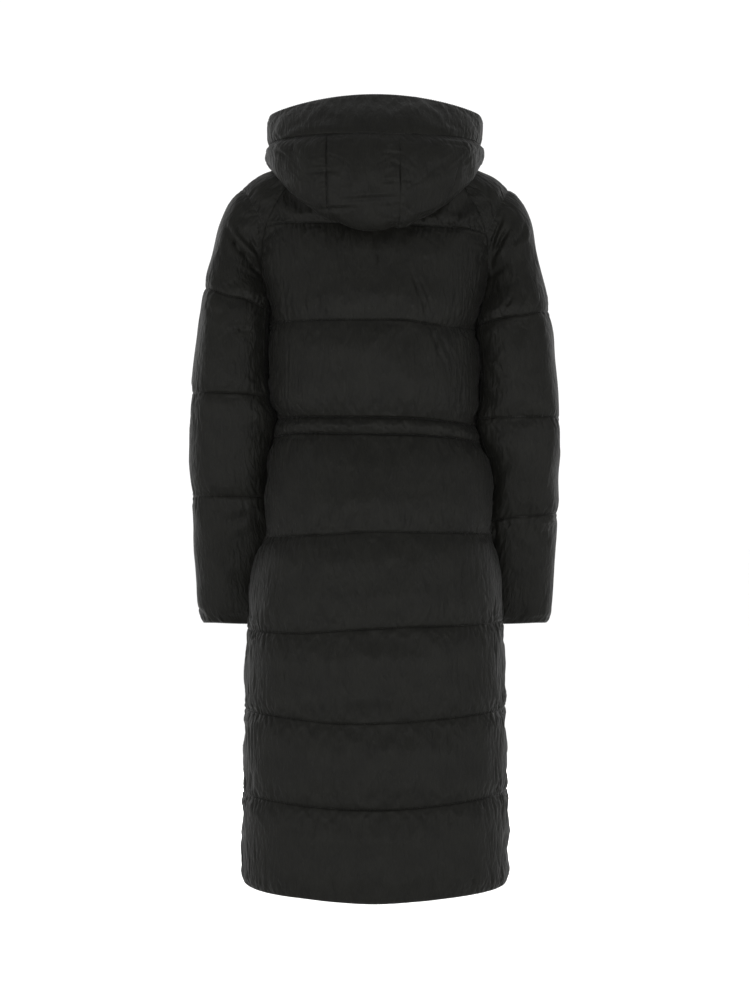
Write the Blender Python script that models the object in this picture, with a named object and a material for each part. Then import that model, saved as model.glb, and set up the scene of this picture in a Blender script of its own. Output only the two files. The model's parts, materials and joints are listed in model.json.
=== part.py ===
"""Long hooded puffer coat, filled out as worn, built from its sewn pieces.

The frame: metres, +Z up, the wearer's front faces -Y and the wearer's left is +X.
The origin is the middle of the neck opening, level with the neck side of the shoulders.

Every cloth piece is a closed wall with an outer and an inner face. It is 3 mm thick
where it is stitched and as thick as its filling between the stitch lines. Two pieces
that are sewn together share the points of their seam and stand 0.3 mm apart there.
"""
import math
from collections import namedtuple

import bpy
import numpy as np

# ---------------------------------------------------------------- driving dimensions
SEAM_GAP = 0.0003           # clear space left between two pieces at a seam
STITCHED = 0.003            # thickness of the wall along a stitch line
FILLED = 0.016              # thickness of the wall between two stitch lines
FILLED_SIDE = 0.010         # the same where the quilting runs out at a side seam
GROOVE = 0.008              # how deep a quilt line sinks in the middle of a panel
GROOVE_SIDE = 0.0015        # how deep it sinks where it meets a side seam
SIDE_POWER = 4              # how late, towards a side seam, the quilting runs out
EDGE_GROOVE = 0.004         # how deep the cloth sinks along the front edges
CASING_FILLED = 0.008       # thickness of the flat waist casing
SLEEVE_FILLED = 0.012       # thickness of the top sleeve between two stitch lines
UNDER_SLEEVE_FILLED = 0.010
SLEEVE_GROOVE = 0.006       # how deep a quilt line sinks round the hanging sleeve
CAP_GROOVE = 0.005          # and over the shoulder
SLEEVE_SIDE_POWER = 3       # how late the quilting runs out at a sleeve's outer and inner side
ROUNDNESS = 2.3             # exponent of the body's plan outline, 2 being an ellipse
ROW_BOW = 1.6               # exponent of a body row's rise or drop towards its ends

NECK_HALF_WIDTH = 0.092
NECK_BACK = 0.085
NECK_FRONT = 0.090
NECK_BACK_RISE = 0.022      # the back of the neck seam, above the neck side
NECK_FRONT_DROP = 0.075     # the front of the neck seam, below the neck side
FRONT_EDGE = 0.0065         # half the distance between the two front edges

# The quilt lines round the body, from the neck to the hem, as heights where they cross
# the middle of the back, the ends of the back panel, the middle of the front and the
# ends of the front panels. Rows between two lines stand at the given fractions.
Seam = namedtuple("Seam", "name back left right front front_left front_right rows")
SEAMS = (
    Seam("neck", 0.022, 0.010, 0.010, -0.075, -0.022, -0.022, (0.2, 0.5, 0.8)),
    Seam("yoke", -0.110, -0.111, -0.122, -0.150, -0.118, -0.122, (0.2, 0.4, 0.6, 0.8)),
    Seam("underarm", -0.235, -0.235, -0.235, -0.235, -0.235, -0.235, ()),
    Seam("chest", -0.264, -0.264, -0.269, -0.266, -0.264, -0.269, (0.16, 0.84)),
    Seam("casing_top", -0.413, -0.410, -0.422, -0.415, -0.410, -0.422, (0.5,)),
    Seam("casing_bottom", -0.439, -0.439, -0.450, -0.442, -0.439, -0.450, (0.16, 0.84)),
    Seam("hip", -0.587, -0.597, -0.593, -0.590, -0.597, -0.593, (0.16, 0.5, 0.84)),
    Seam("thigh", -0.736, -0.748, -0.733, -0.738, -0.748, -0.733, (0.16, 0.84)),
    Seam("knee", -0.880, -0.875, -0.873, -0.880, -0.875, -0.873, (0.16, 0.84)),
    Seam("calf", -1.011, -1.010, -1.007, -1.011, -1.010, -1.007, (0.15, 0.86)),
    Seam("hem", -1.157, -1.150, -1.150, -1.156, -1.150, -1.150, ()),
)
UNSTITCHED = ("underarm",)

# The body's crest: half widths to the wearer's left and right, depths behind and before.
Section = namedtuple("Section", "z left right back front")
BODY = (
    Section(0.022, 0.092, 0.092, 0.085, 0.088),
    Section(-0.055, 0.130, 0.130, 0.104, 0.088),
    Section(-0.110, 0.160, 0.160, 0.117, 0.100),
    Section(-0.150, 0.166, 0.166, 0.124, 0.108),
    Section(-0.235, 0.168, 0.166, 0.131, 0.121),
    Section(-0.264, 0.170, 0.161, 0.132, 0.124),
    Section(-0.310, 0.171, 0.166, 0.132, 0.126),
    Section(-0.350, 0.170, 0.168, 0.129, 0.124),
    Section(-0.385, 0.165, 0.167, 0.124, 0.118),
    Section(-0.412, 0.157, 0.161, 0.117, 0.111),
    Section(-0.445, 0.164, 0.168, 0.119, 0.113),
    Section(-0.480, 0.171, 0.182, 0.127, 0.121),
    Section(-0.527, 0.174, 0.188, 0.135, 0.129),
    Section(-0.594, 0.175, 0.187, 0.142, 0.135),
    Section(-0.634, 0.190, 0.195, 0.146, 0.138),
    Section(-0.674, 0.199, 0.201, 0.148, 0.140),
    Section(-0.735, 0.204, 0.205, 0.150, 0.142),
    Section(-0.900, 0.2085, 0.209, 0.152, 0.144),
    Section(-1.080, 0.212, 0.213, 0.153, 0.145),
    Section(-1.125, 0.211, 0.212, 0.152, 0.144),
    Section(-1.150, 0.2075, 0.2085, 0.152, 0.144),
)

# The raglan seams of the wearer's left side, from the neck to the underarm; the right
# side mirrors them.
Raglan = namedtuple("Raglan", "z x y")
BACK_RAGLAN = (
    Raglan(0.010, 0.0780, 0.0451),
    Raglan(-0.022, 0.1130, 0.0660),
    Raglan(-0.055, 0.1410, 0.0780),
    Raglan(-0.094, 0.1650, 0.0740),
    Raglan(-0.115, 0.1730, 0.0660),
    Raglan(-0.153, 0.1800, 0.0500),
    Raglan(-0.200, 0.1770, 0.0260),
    Raglan(-0.235, 0.1680, 0.0000),
)
FRONT_RAGLAN = (
    Raglan(-0.022, 0.0780, -0.0478),
    Raglan(-0.052, 0.1130, -0.0640),
    Raglan(-0.085, 0.1400, -0.0720),
    Raglan(-0.120, 0.1630, -0.0680),
    Raglan(-0.155, 0.1720, -0.0520),
    Raglan(-0.200, 0.1740, -0.0260),
    Raglan(-0.235, 0.1680, 0.0000),
)

# The top line of the sleeve, one row for each body row from the neck to the start of
# the lengthwise seams, and how far the cloth is rounded out behind and before it.
Cap = namedtuple("Cap", "x y z fullness")
SLEEVE_CAP = (
    Cap(0.0920, 0.0000, 0.0000, 0.000),
    Cap(0.1160, 0.0000, -0.0050, 0.002),
    Cap(0.1520, 0.0000, -0.0165, 0.005),
    Cap(0.1880, 0.0000, -0.0295, 0.009),
    Cap(0.2120, -0.0020, -0.0445, 0.013),
    Cap(0.2340, -0.0040, -0.0650, 0.021),
    Cap(0.2490, -0.0060, -0.0970, 0.034),
    Cap(0.2600, -0.0100, -0.1450, 0.046),
)

# Level sections of the hanging sleeve: its outer and inner sides, middle and half depth.
Arm = namedtuple("Arm", "z outer inner middle depth")
SLEEVE = (
    Arm(-0.190, 0.2690, 0.1860, -0.006, 0.076),
    Arm(-0.235, 0.2765, 0.1790, -0.008, 0.080),
    Arm(-0.300, 0.2860, 0.1760, -0.012, 0.083),
    Arm(-0.369, 0.2930, 0.1750, -0.018, 0.083),
    Arm(-0.450, 0.2975, 0.1810, -0.030, 0.080),
    Arm(-0.485, 0.2970, 0.1860, -0.037, 0.078),
    Arm(-0.530, 0.2962, 0.1880, -0.047, 0.075),
    Arm(-0.600, 0.2948, 0.1860, -0.067, 0.070),
    Arm(-0.670, 0.2930, 0.1900, -0.087, 0.064),
    Arm(-0.725, 0.2898, 0.1930, -0.098, 0.058),
    Arm(-0.747, 0.2830, 0.1990, -0.101, 0.051),
)

# The quilt lines round each sleeve below the underarm, at its outer and inner side.
SleeveLine = namedtuple("SleeveLine", "outer inner")
SLEEVE_LINES = {
    "left": (
        SleeveLine(-0.203, -0.252),
        SleeveLine(-0.369, -0.376),
        SleeveLine(-0.534, -0.536),
        SleeveLine(-0.742, -0.747),
    ),
    "right": (
        SleeveLine(-0.240, -0.264),
        SleeveLine(-0.408, -0.412),
        SleeveLine(-0.561, -0.576),
        SleeveLine(-0.742, -0.747),
    ),
}
SLEEVE_ROWS = ((0.16, 0.84), (0.16, 0.84), (0.14, 0.5, 0.92))
SEAM_ANGLE = math.radians(121)      # where the lengthwise seams run, from the outer side

# The hood lying down, as rings round the neck from its face edge to the neck seam: half
# width, how far behind the neck side it is widest, depth behind and before, how square
# its plan is (1 is an ellipse), and its height behind, at the sides and in front; drop
# is the power by which its height changes on the way round.
Ring = namedtuple(
    "Ring", "name half_width widest back front plan z_back z_side z_front drop thick")
HOOD = (
    Ring("rim", 0.1655, 0.020, 0.110, 0.127, 0.90, 0.0865, 0.068, 0.020, 2.50, 0.006),
    Ring("brim_middle", 0.1670, 0.026, 0.143, 0.126, 0.85, 0.052, 0.043, 0.001, 2.00, 0.014),
    Ring("brim_seam", 0.1650, 0.030, 0.166, 0.120, 0.80, 0.014, 0.017, -0.014, 1.35, 0.003),
    Ring("outer_high", 0.1675, 0.034, 0.184, 0.119, 0.75, -0.012, 0.008, -0.020, 1.35, 0.013),
    Ring("outer_low", 0.1675, 0.038, 0.190, 0.115, 0.75, -0.075, -0.002, -0.029, 1.35, 0.013),
    Ring("fold_outer", 0.1640, 0.040, 0.178, 0.112, 0.75, -0.120, -0.009, -0.036, 1.35, 0.011),
    Ring("fold", 0.1540, 0.038, 0.157, 0.109, 0.75, -0.131, -0.008, -0.043, 1.35, 0.010),
    Ring("leg_low", 0.1430, 0.032, 0.140, 0.106, 0.75, -0.105, 0.002, -0.050, 1.35, 0.009),
    Ring("leg_high", 0.1220, 0.018, 0.114, 0.102, 0.80, 0.004, 0.014, -0.057, 1.35, 0.008),
    Ring("roll", 0.1040, 0.006, 0.099, 0.097, 0.95, 0.038, 0.018, -0.063, 1.35, 0.006),
)

BACK_COLUMNS = (0.0, 0.11, 0.22, 0.44, 0.60, 0.76, 0.90, 1.0)
FRONT_COLUMNS = (0.0, 0.09, 0.25, 0.42, 0.60, 0.76, 0.90, 1.0)
SLEEVE_TOP_COLUMNS = 10
SLEEVE_UNDER_COLUMNS = 4
CAP_ROWS = len(SLEEVE_CAP)
HOOD_CENTRE_COLUMNS = (4, 9)       # columns of the back bodice that the centre panel spans

CHAIN_HALF_WIDTH = 0.0029
CHAIN_THICK = 0.0024
TAPE_THICK = 0.0010
ZIP_STEP = 3                # the zip keeps one in so many points of the front edge
SLIDER_SIZE = (0.0086, 0.0022, 0.0120)
SLIDER_GAP = 0.0003         # clear space between the slider's plate and the chain
SLIDER_DROP = 0.016         # the slider's middle, below the top of the zip
CROWN_SIZE = (0.0030, 0.0034, 0.0048)
CROWN_ROOT = 0.0005         # how far the crown is let into the slider's plate
CROWN_TUNNEL = (0.0023, 0.0026)     # depth and height of the hole that the tab's bar turns in
TAB_SIZE = (0.0076, 0.0013, 0.0270)
TAB_WINDOW = (0.0044, 0.0044)
TAB_BAR = 0.0013
CUT_THROUGH = 3             # a hole's cutter is so many times as long as its hole
SHARP_ANGLE = math.radians(60)
SAME = 1e-6                 # places closer than this are the same

Finish = namedtuple("Finish", "color roughness metallic")
SHELL_CLOTH = Finish((0.017, 0.017, 0.016), 0.62, 0.0)
TAPE_CLOTH = Finish((0.010, 0.010, 0.010), 0.85, 0.0)
NYLON_TEETH = Finish((0.012, 0.012, 0.012), 0.40, 0.0)
DARK_METAL = Finish((0.030, 0.030, 0.032), 0.32, 1.0)


# ---------------------------------------------------------------- tables made smooth
def follow(table, key, column, at):
    """One column of a table as a smooth curve over its key column, read at a place."""
    rows = sorted(table, key=lambda row: getattr(row, key))
    keys = np.array([getattr(row, key) for row in rows])
    values = np.array([getattr(row, column) for row in rows])
    steps = np.diff(values) / np.diff(keys)
    slopes = np.concatenate(([steps[0]], (steps[1:] + steps[:-1]) / 2, [steps[-1]]))
    flat = np.concatenate(([False], steps[1:] * steps[:-1] <= 0, [False]))
    slopes[flat] = 0.0
    at = min(max(at, keys[0]), keys[-1])
    i = min(max(int(np.searchsorted(keys, at)) - 1, 0), len(keys) - 2)
    span = keys[i + 1] - keys[i]
    t = (at - keys[i]) / span
    blend = t * t * (3 - 2 * t)
    lead = t * (1 - t) ** 2 * slopes[i] - t * t * (1 - t) * slopes[i + 1]
    return float(values[i] * (1 - blend) + values[i + 1] * blend + span * lead)


def mix(a, b, t):
    return a + (b - a) * t


def unit(vectors):
    length = np.linalg.norm(vectors, axis=-1, keepdims=True)
    return vectors / np.maximum(length, 1e-12)


# ---------------------------------------------------------------- rows of the body
Row = namedtuple("Row", "seam stitched back left right front front_left front_right")


def body_rows(first, last):
    """The rows of a piece that runs from one named seam to another, from the top down."""
    names = [seam.name for seam in SEAMS]
    rows = []
    for i in range(names.index(first), names.index(last) + 1):
        upper = SEAMS[i]
        heights = upper[1:7]
        rows.append(Row(upper.name, upper.name not in UNSTITCHED, *heights))
        if upper.name == last:
            break
        lower = SEAMS[i + 1][1:7]
        for t in upper.rows:
            rows.append(Row("", False, *(mix(a, b, t) for a, b in zip(heights, lower))))
    return rows


def side_point(row, side, face):
    """The end of a body row at the side seam or, above the underarm, at the raglan seam."""
    mirror = 1 if side == "left" else -1
    underarm = BACK_RAGLAN[-1].z
    z = getattr(row, side) if face == "back" else getattr(row, "front_" + side)
    raglan = BACK_RAGLAN if face == "back" else FRONT_RAGLAN
    if z > underarm + SAME:
        return np.array([mirror * follow(raglan, "z", "x", z), follow(raglan, "z", "y", z), z])
    width = follow(BODY, "z", side, z)
    if abs(z - underarm) < SAME:
        width = BACK_RAGLAN[-1].x
    return np.array([mirror * width, 0.0, z])


def neck_point(angle):
    """A point of the neck seam; the angle is 0 behind, 90 degrees at the wearer's left."""
    depth = NECK_BACK if math.cos(angle) >= 0 else NECK_FRONT
    rise = NECK_BACK_RISE if math.cos(angle) >= 0 else NECK_FRONT_DROP
    return np.array([
        NECK_HALF_WIDTH * math.sin(angle),
        depth * math.cos(angle),
        rise * math.cos(angle),
    ])


def arc_point(end, middle_y, middle_z, share, exponent):
    """A point of a rounded row, at a share of the turn from its middle to its end."""
    reach = min(abs(end[1] / middle_y), 1.0)
    half = abs(end[0]) / (1 - reach ** exponent) ** (1 / exponent)
    turn = math.atan2((abs(end[0]) / half) ** (exponent / 2), reach ** (exponent / 2))
    angle = share * turn
    x = half * math.sin(angle) ** (2 / exponent)
    y = middle_y * math.cos(angle) ** (2 / exponent)
    bow = (x / abs(end[0])) ** ROW_BOW
    return np.array([math.copysign(x, end[0]), y, mix(middle_z, end[2], bow)])


def sink(point, centre, depth):
    """A point moved level towards the middle of the garment."""
    inward = np.array([centre[0] - point[0], centre[1] - point[1], 0.0])
    return point + inward / max(np.linalg.norm(inward), 1e-9) * depth


def groove_depth(row, across):
    """How far a point of a row lies below the crest; across is 0 in the middle, 1 at the end."""
    return mix(GROOVE, GROOVE_SIDE, across ** SIDE_POWER) if row.stitched else 0.0


def back_shares():
    """The columns of a back panel, from 1 at its left end to -1 at its right end."""
    return list(reversed(BACK_COLUMNS)) + [-share for share in BACK_COLUMNS[1:]]


def back_grid(rows):
    shares = back_shares()
    grid = []
    for row in rows:
        line = []
        for share in shares:
            side = "left" if share >= 0 else "right"
            end = side_point(row, side, "back")
            if row.seam == "neck":
                limit = math.atan2(end[0] / NECK_HALF_WIDTH, end[1] / NECK_BACK)
                line.append(neck_point(abs(share) * limit))
                continue
            z = row.back
            depth = follow(BODY, "z", "back", z)
            point = arc_point(end, depth, z, abs(share), ROUNDNESS)
            if abs(share) < 1:
                point = sink(point, (0, 0), groove_depth(row, abs(share)))
            line.append(point)
        grid.append(line)
    return np.array(grid)


def front_grid(rows, side):
    """A front panel, with its columns from the front edge to the side seam."""
    grid = []
    for row in rows:
        end = side_point(row, side, "front")
        depth = follow(BODY, "z", "front", row.front)
        line = []
        for share in FRONT_COLUMNS:
            if row.seam == "neck":
                limit = math.atan2(abs(end[0]) / NECK_HALF_WIDTH, abs(end[1]) / NECK_FRONT)
                start = math.asin(FRONT_EDGE / NECK_HALF_WIDTH)
                turn = math.pi - mix(start, limit, share)
                line.append(neck_point(math.copysign(turn, end[0])))
                continue
            point = arc_point(end, -depth, row.front, share, ROUNDNESS)
            if share == 0:
                point[0] = math.copysign(FRONT_EDGE, end[0])
                point = sink(point, (point[0], 0), EDGE_GROOVE)
            elif share < 1:
                point = sink(point, (0, 0), groove_depth(row, share))
            line.append(point)
        grid.append(line)
    grid = np.array(grid)
    return grid if side == "left" else grid[:, ::-1]


# ---------------------------------------------------------------- rows of the sleeves
def cap_arc(j, back, front, side):
    """A row of the sleeve over the shoulder, from the front raglan seam to the back one."""
    mirror = 1 if side == "left" else -1
    cap = SLEEVE_CAP[j]
    top = np.array([mirror * cap.x, cap.y, cap.z])
    middle = (back + front) / 2
    half = (back - front) / 2
    rise = top - middle
    line = []
    for k in range(SLEEVE_TOP_COLUMNS + 1):
        angle = math.pi * k / SLEEVE_TOP_COLUMNS
        bulge = cap.fullness * math.sin(2 * (math.pi - angle))
        point = middle - half * math.cos(angle) + rise * math.sin(angle)
        line.append(point + np.array([0, bulge, 0]))
    return line


def neck_arc(side):
    """The sleeve's edge at the neck seam, from the front raglan seam to the back one."""
    mirror = 1 if side == "left" else -1
    back = math.atan2(BACK_RAGLAN[0].x / NECK_HALF_WIDTH, BACK_RAGLAN[0].y / NECK_BACK)
    front = math.pi - math.atan2(
        FRONT_RAGLAN[0].x / NECK_HALF_WIDTH, -FRONT_RAGLAN[0].y / NECK_FRONT)
    turns = np.linspace(front, back, SLEEVE_TOP_COLUMNS + 1)
    return [neck_point(mirror * turn) for turn in turns]


def sleeve_point(line, angle, side):
    """A point of a ring round the hanging sleeve; the angle is 0 outside, 90 degrees behind."""
    mirror = 1 if side == "left" else -1
    z = mix(line.inner, line.outer, (1 + math.cos(angle)) / 2)
    outer = follow(SLEEVE, "z", "outer", z)
    inner = follow(SLEEVE, "z", "inner", z)
    x = (outer + inner) / 2 + (outer - inner) / 2 * math.cos(angle)
    y = follow(SLEEVE, "z", "middle", z) + follow(SLEEVE, "z", "depth", z) * math.sin(angle)
    return np.array([mirror * x, y, z])


def sleeve_lines(side):
    """The rings of the hanging sleeve and whether each is a quilt line."""
    lines = SLEEVE_LINES[side]
    rings = []
    for upper, lower, shares in zip(lines, lines[1:], SLEEVE_ROWS):
        rings.append((upper, True))
        for t in shares:
            ring = SleeveLine(mix(upper.outer, lower.outer, t), mix(upper.inner, lower.inner, t))
            rings.append((ring, False))
    rings.append((lines[-1], True))
    return rings


def ring_points(ring, stitched, turns, side):
    middle = follow(SLEEVE, "z", "middle", ring.outer)
    centre_x = (follow(SLEEVE, "z", "outer", ring.outer) + follow(SLEEVE, "z", "inner", ring.outer)) / 2
    centre = (centre_x if side == "left" else -centre_x, middle)
    points = []
    for turn in turns:
        point = sleeve_point(ring, turn, side)
        sides = abs(math.cos(turn)) ** SLEEVE_SIDE_POWER
        depth = mix(SLEEVE_GROOVE, GROOVE_SIDE, sides) if stitched else 0.0
        points.append(sink(point, centre, depth))
    return points


def sleeve_grids(side):
    """The top sleeve and the under sleeve of one arm."""
    rows = body_rows("neck", "underarm")
    backs = [side_point(row, side, "back") for row in rows]
    fronts = [side_point(row, side, "front") for row in rows]
    top = [neck_arc(side)]
    for j in range(1, CAP_ROWS):
        arc = cap_arc(j, backs[j], fronts[j], side)
        if rows[j].seam == "yoke":
            for k in range(1, SLEEVE_TOP_COLUMNS):
                away = math.sin(2 * math.pi * k / SLEEVE_TOP_COLUMNS) ** 2
                armhole = (math.copysign(BACK_RAGLAN[-1].x, arc[k][0]), 0.0)
                arc[k] = sink(arc[k], armhole, mix(GROOVE_SIDE, CAP_GROOVE, away))
        top.append(arc)
    # the armhole below the lengthwise seams: behind, the underarm, before
    middle = CAP_ROWS
    under = [[backs[middle - 1], backs[middle], backs[-1], fronts[middle], fronts[middle - 1]]]
    top_turns = np.linspace(-SEAM_ANGLE, SEAM_ANGLE, SLEEVE_TOP_COLUMNS + 1)
    under_turns = np.linspace(SEAM_ANGLE, 2 * math.pi - SEAM_ANGLE, SLEEVE_UNDER_COLUMNS + 1)
    for ring, stitched in sleeve_lines(side):
        top.append(ring_points(ring, stitched, top_turns, side))
        under.append(ring_points(ring, stitched, under_turns, side))
    top = np.array(top)
    under = np.array(under)
    if side == "right":
        return top[:, ::-1], under[:, ::-1]
    return top, under


# ---------------------------------------------------------------- rings of the hood
def neck_angles():
    """The angles of the neck seam's points, all round from the front edge and back to it."""
    rows = body_rows("neck", "yoke")[:1]
    left = front_grid(rows, "left")[0]
    sleeve = np.array(neck_arc("left"))
    back = back_grid(rows)[0]
    right_sleeve = np.array(neck_arc("right"))[::-1]
    right = front_grid(rows, "right")[0]
    loop = np.concatenate([left, sleeve[1:], back[1:], right_sleeve[1:], right[1:]])
    depths = np.where(loop[:, 1] >= 0, NECK_BACK, NECK_FRONT)
    return np.arctan2(loop[:, 0] / NECK_HALF_WIDTH, loop[:, 1] / depths), loop


def hood_grid():
    """The whole hood, from its face edge down to the neck seam, and its wall thickness."""
    angles, neck = neck_angles()
    grid = []
    for ring in HOOD:
        line = []
        for angle in angles:
            lean = abs(math.cos(angle))
            behind = math.cos(angle) >= 0
            end, end_z = (ring.back, ring.z_back) if behind else (-ring.front, ring.z_front)
            y = mix(ring.widest, end, lean ** ring.plan)
            z = mix(ring.z_side, end_z, lean ** ring.drop)
            line.append([ring.half_width * math.sin(angle), y, z])
        line[0][0] = FRONT_EDGE
        line[-1][0] = -FRONT_EDGE
        grid.append(line)
    grid.append(neck.tolist())
    thick = [ring.thick for ring in HOOD] + [STITCHED]
    return np.array(grid), np.array(thick)


# ---------------------------------------------------------------- walls
class Panel:
    """A piece of filled cloth: its outer face as a grid, from the top down."""

    def __init__(self, name, grid, thick, finish=SHELL_CLOTH):
        self.name = name
        self.grid = np.asarray(grid, dtype=float)
        self.thick = np.broadcast_to(thick, self.grid.shape[:2]).copy()
        self.finish = finish
        down = np.gradient(self.grid, axis=0)
        across = np.gradient(self.grid, axis=1)
        self.normal = unit(np.cross(down, across))
        self.normal[0, 0] = self.normal[1, 1]
        self.normal[0, -1] = self.normal[1, -2]

    def border(self):
        rows, columns = self.grid.shape[:2]
        top = [(0, c) for c in range(columns - 1)]
        right = [(r, columns - 1) for r in range(rows - 1)]
        bottom = [(rows - 1, c) for c in range(columns - 1, 0, -1)]
        left = [(r, 0) for r in range(rows - 1, 0, -1)]
        return top + right + bottom + left


def body_thickness(rows, shares, filled):
    """The wall's thickness over a panel; its columns lie at shares of the way to the sides."""
    thick = np.zeros((len(rows), len(shares)))
    for r, row in enumerate(rows):
        for c, share in enumerate(shares):
            fill = mix(filled, min(filled, FILLED_SIDE), abs(share) ** SIDE_POWER)
            thick[r, c] = STITCHED if row.stitched else fill
    thick[:, 0] = STITCHED
    thick[:, -1] = STITCHED
    return thick


def body_panels():
    panels = []
    spans = (
        ("bodice", "neck", "casing_top", FILLED),
        ("casing", "casing_top", "casing_bottom", CASING_FILLED),
        ("skirt", "casing_bottom", "hem", FILLED),
    )
    for part, first, last, filled in spans:
        rows = body_rows(first, last)
        thick = body_thickness(rows, back_shares(), filled)
        panels.append(Panel("back_" + part, back_grid(rows), thick))
        for side in ("left", "right"):
            shares = FRONT_COLUMNS if side == "left" else FRONT_COLUMNS[::-1]
            thick = body_thickness(rows, shares, filled)
            panels.append(Panel(f"front_{part}_{side}", front_grid(rows, side), thick))
    return panels


def sleeve_panels():
    panels = []
    for side in ("left", "right"):
        top, under = sleeve_grids(side)
        rings = [stitched for _, stitched in sleeve_lines(side)]
        cap = [row.stitched for row in body_rows("neck", "underarm")[:CAP_ROWS]]
        pieces = (
            ("sleeve_top_", top, cap + rings, SLEEVE_FILLED),
            ("sleeve_under_", under, [True] + rings, UNDER_SLEEVE_FILLED),
        )
        for name, grid, stitched, filled in pieces:
            thick = np.full(grid.shape[:2], filled)
            thick[stitched] = STITCHED
            thick[:, [0, -1]] = STITCHED
            panels.append(Panel(name + side, grid, thick))
    return panels


def hood_panels():
    grid, thick = hood_grid()
    seam = [ring.name for ring in HOOD].index("brim_seam")
    first_back = len(FRONT_COLUMNS) - 1 + SLEEVE_TOP_COLUMNS
    left_seam, right_seam = (first_back + c for c in HOOD_CENTRE_COLUMNS)
    last = grid.shape[1] - 1
    panels = [Panel("hood_brim", grid[:seam + 1], thick[:seam + 1, None])]
    spans = (
        ("hood_side_left", 0, left_seam),
        ("hood_centre", left_seam, right_seam),
        ("hood_side_right", right_seam, last),
    )
    for name, start, end in spans:
        panels.append(Panel(name, grid[seam:, start:end + 1], thick[seam:, None]))
    for panel in panels:
        panel.thick[:, [0, -1]] = np.minimum(panel.thick[:, [0, -1]], STITCHED)
    return panels


def key_of(point):
    return tuple(np.round(point * 1e5).astype(int))


def share_seam_directions(panels):
    """Give the points of a seam one outward direction, the same for every piece on it.

    The body, a sleeve and the hood count alike, however many pieces of each meet there.
    """
    found = {}
    for panel in panels:
        family = "hood" if "hood" in panel.name else panel.name[-5:] * ("sleeve" in panel.name)
        for r, c in panel.border():
            families = found.setdefault(key_of(panel.grid[r, c]), {})
            families[family] = families.get(family, np.zeros(3)) + panel.normal[r, c]
    for panel in panels:
        for r, c in panel.border():
            families = found[key_of(panel.grid[r, c])]
            direction = sum(unit(total) for total in families.values())
            if abs(panel.grid[r, c, 0]) <= FRONT_EDGE + SAME and panel.grid[r, c, 1] < 0:
                direction[0] = 0.0
            panel.normal[r, c] = unit(direction)


def seam_setback(panel):
    """How far each border point moves off its seam, half the gap, into its own panel."""
    shift = np.zeros_like(panel.grid)
    rows, columns = panel.grid.shape[:2]
    down = np.gradient(panel.grid, axis=0)
    across = np.gradient(panel.grid, axis=1)

    def inward(r, c, tangent, towards):
        plane = unit(np.cross(tangent, panel.normal[r, c]))
        return plane if np.dot(plane, towards) > 0 else -plane

    for r, c in panel.border():
        planes = []
        if r in (0, rows - 1):
            towards = panel.grid[1 if r == 0 else rows - 2, c] - panel.grid[r, c]
            planes.append(inward(r, c, across[r, c], towards))
        if c in (0, columns - 1):
            towards = panel.grid[r, 1 if c == 0 else columns - 2] - panel.grid[r, c]
            planes.append(inward(r, c, down[r, c], towards))
        matrix = np.array(planes)
        wanted = np.full(len(planes), SEAM_GAP / 2)
        shift[r, c] = np.linalg.lstsq(matrix, wanted, rcond=None)[0]
    return shift


def wall_mesh(panel):
    """The closed wall: the outer face, the inner face and the edge strip between them."""
    rows, columns = panel.grid.shape[:2]
    outer = panel.grid + seam_setback(panel)
    inner = outer - panel.normal * panel.thick[..., None]
    points = np.concatenate([outer.reshape(-1, 3), inner.reshape(-1, 3)])
    offset = rows * columns

    def at(r, c, side=0):
        return side * offset + r * columns + c

    faces = []
    for r in range(rows - 1):
        for c in range(columns - 1):
            corners = (at(r, c), at(r + 1, c), at(r + 1, c + 1), at(r, c + 1))
            faces.append(corners)
            faces.append(tuple(offset + v for v in reversed(corners)))
    # the edge strip is split from the lower seam point's outer corner, on both pieces alike
    loop = panel.border()
    for (r, c), (r2, c2) in zip(loop, loop[1:] + loop[:1]):
        near, far, far_in, near_in = at(r, c), at(r2, c2), at(r2, c2, 1), at(r, c, 1)
        if key_of(panel.grid[r, c]) < key_of(panel.grid[r2, c2]):
            faces.append((near, far, far_in))
            faces.append((near, far_in, near_in))
        else:
            faces.append((near, far, near_in))
            faces.append((far, far_in, near_in))
    return points, faces


# ---------------------------------------------------------------- objects
def material(name, finish):
    made = bpy.data.materials.new(name)
    made.use_nodes = True
    shader = made.node_tree.nodes["Principled BSDF"]
    shader.inputs["Base Color"].default_value = (*finish.color, 1)
    shader.inputs["Roughness"].default_value = finish.roughness
    shader.inputs["Metallic"].default_value = finish.metallic
    return made


def add_object(name, mesh, finish, collection, parent):
    piece = bpy.data.objects.new(name, mesh)
    mesh.materials.clear()
    mesh.materials.append(material(name, finish))
    collection.objects.link(piece)
    piece.parent = parent
    return piece


def add_panel(panel, collection, parent):
    points, faces = wall_mesh(panel)
    mesh = bpy.data.meshes.new(panel.name)
    mesh.from_pydata(points.tolist(), [], faces)
    mesh.update()
    mesh.shade_smooth()
    mesh.set_sharp_from_angle(angle=SHARP_ANGLE)
    return add_object(panel.name, mesh, panel.finish, collection, parent)


def primitive_box(name, size, place, turn, collection):
    """A box from Blender's cube, scaled to its size, with its place and turn in its mesh."""
    bpy.ops.mesh.primitive_cube_add(size=1, location=place, rotation=(turn, 0, 0))
    box = bpy.context.object
    box.name = name
    box.scale = size
    bpy.context.view_layer.update()
    box.data.transform(box.matrix_world)
    box.matrix_world.identity()
    for old in list(box.users_collection):
        old.objects.unlink(box)
    collection.objects.link(box)
    return box


def add_boolean(piece, other, operation):
    modifier = piece.modifiers.new(operation.title(), "BOOLEAN")
    modifier.operation = operation
    modifier.object = other
    modifier.solver = "EXACT"
    other.hide_render = True
    other.display_type = "WIRE"


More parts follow.
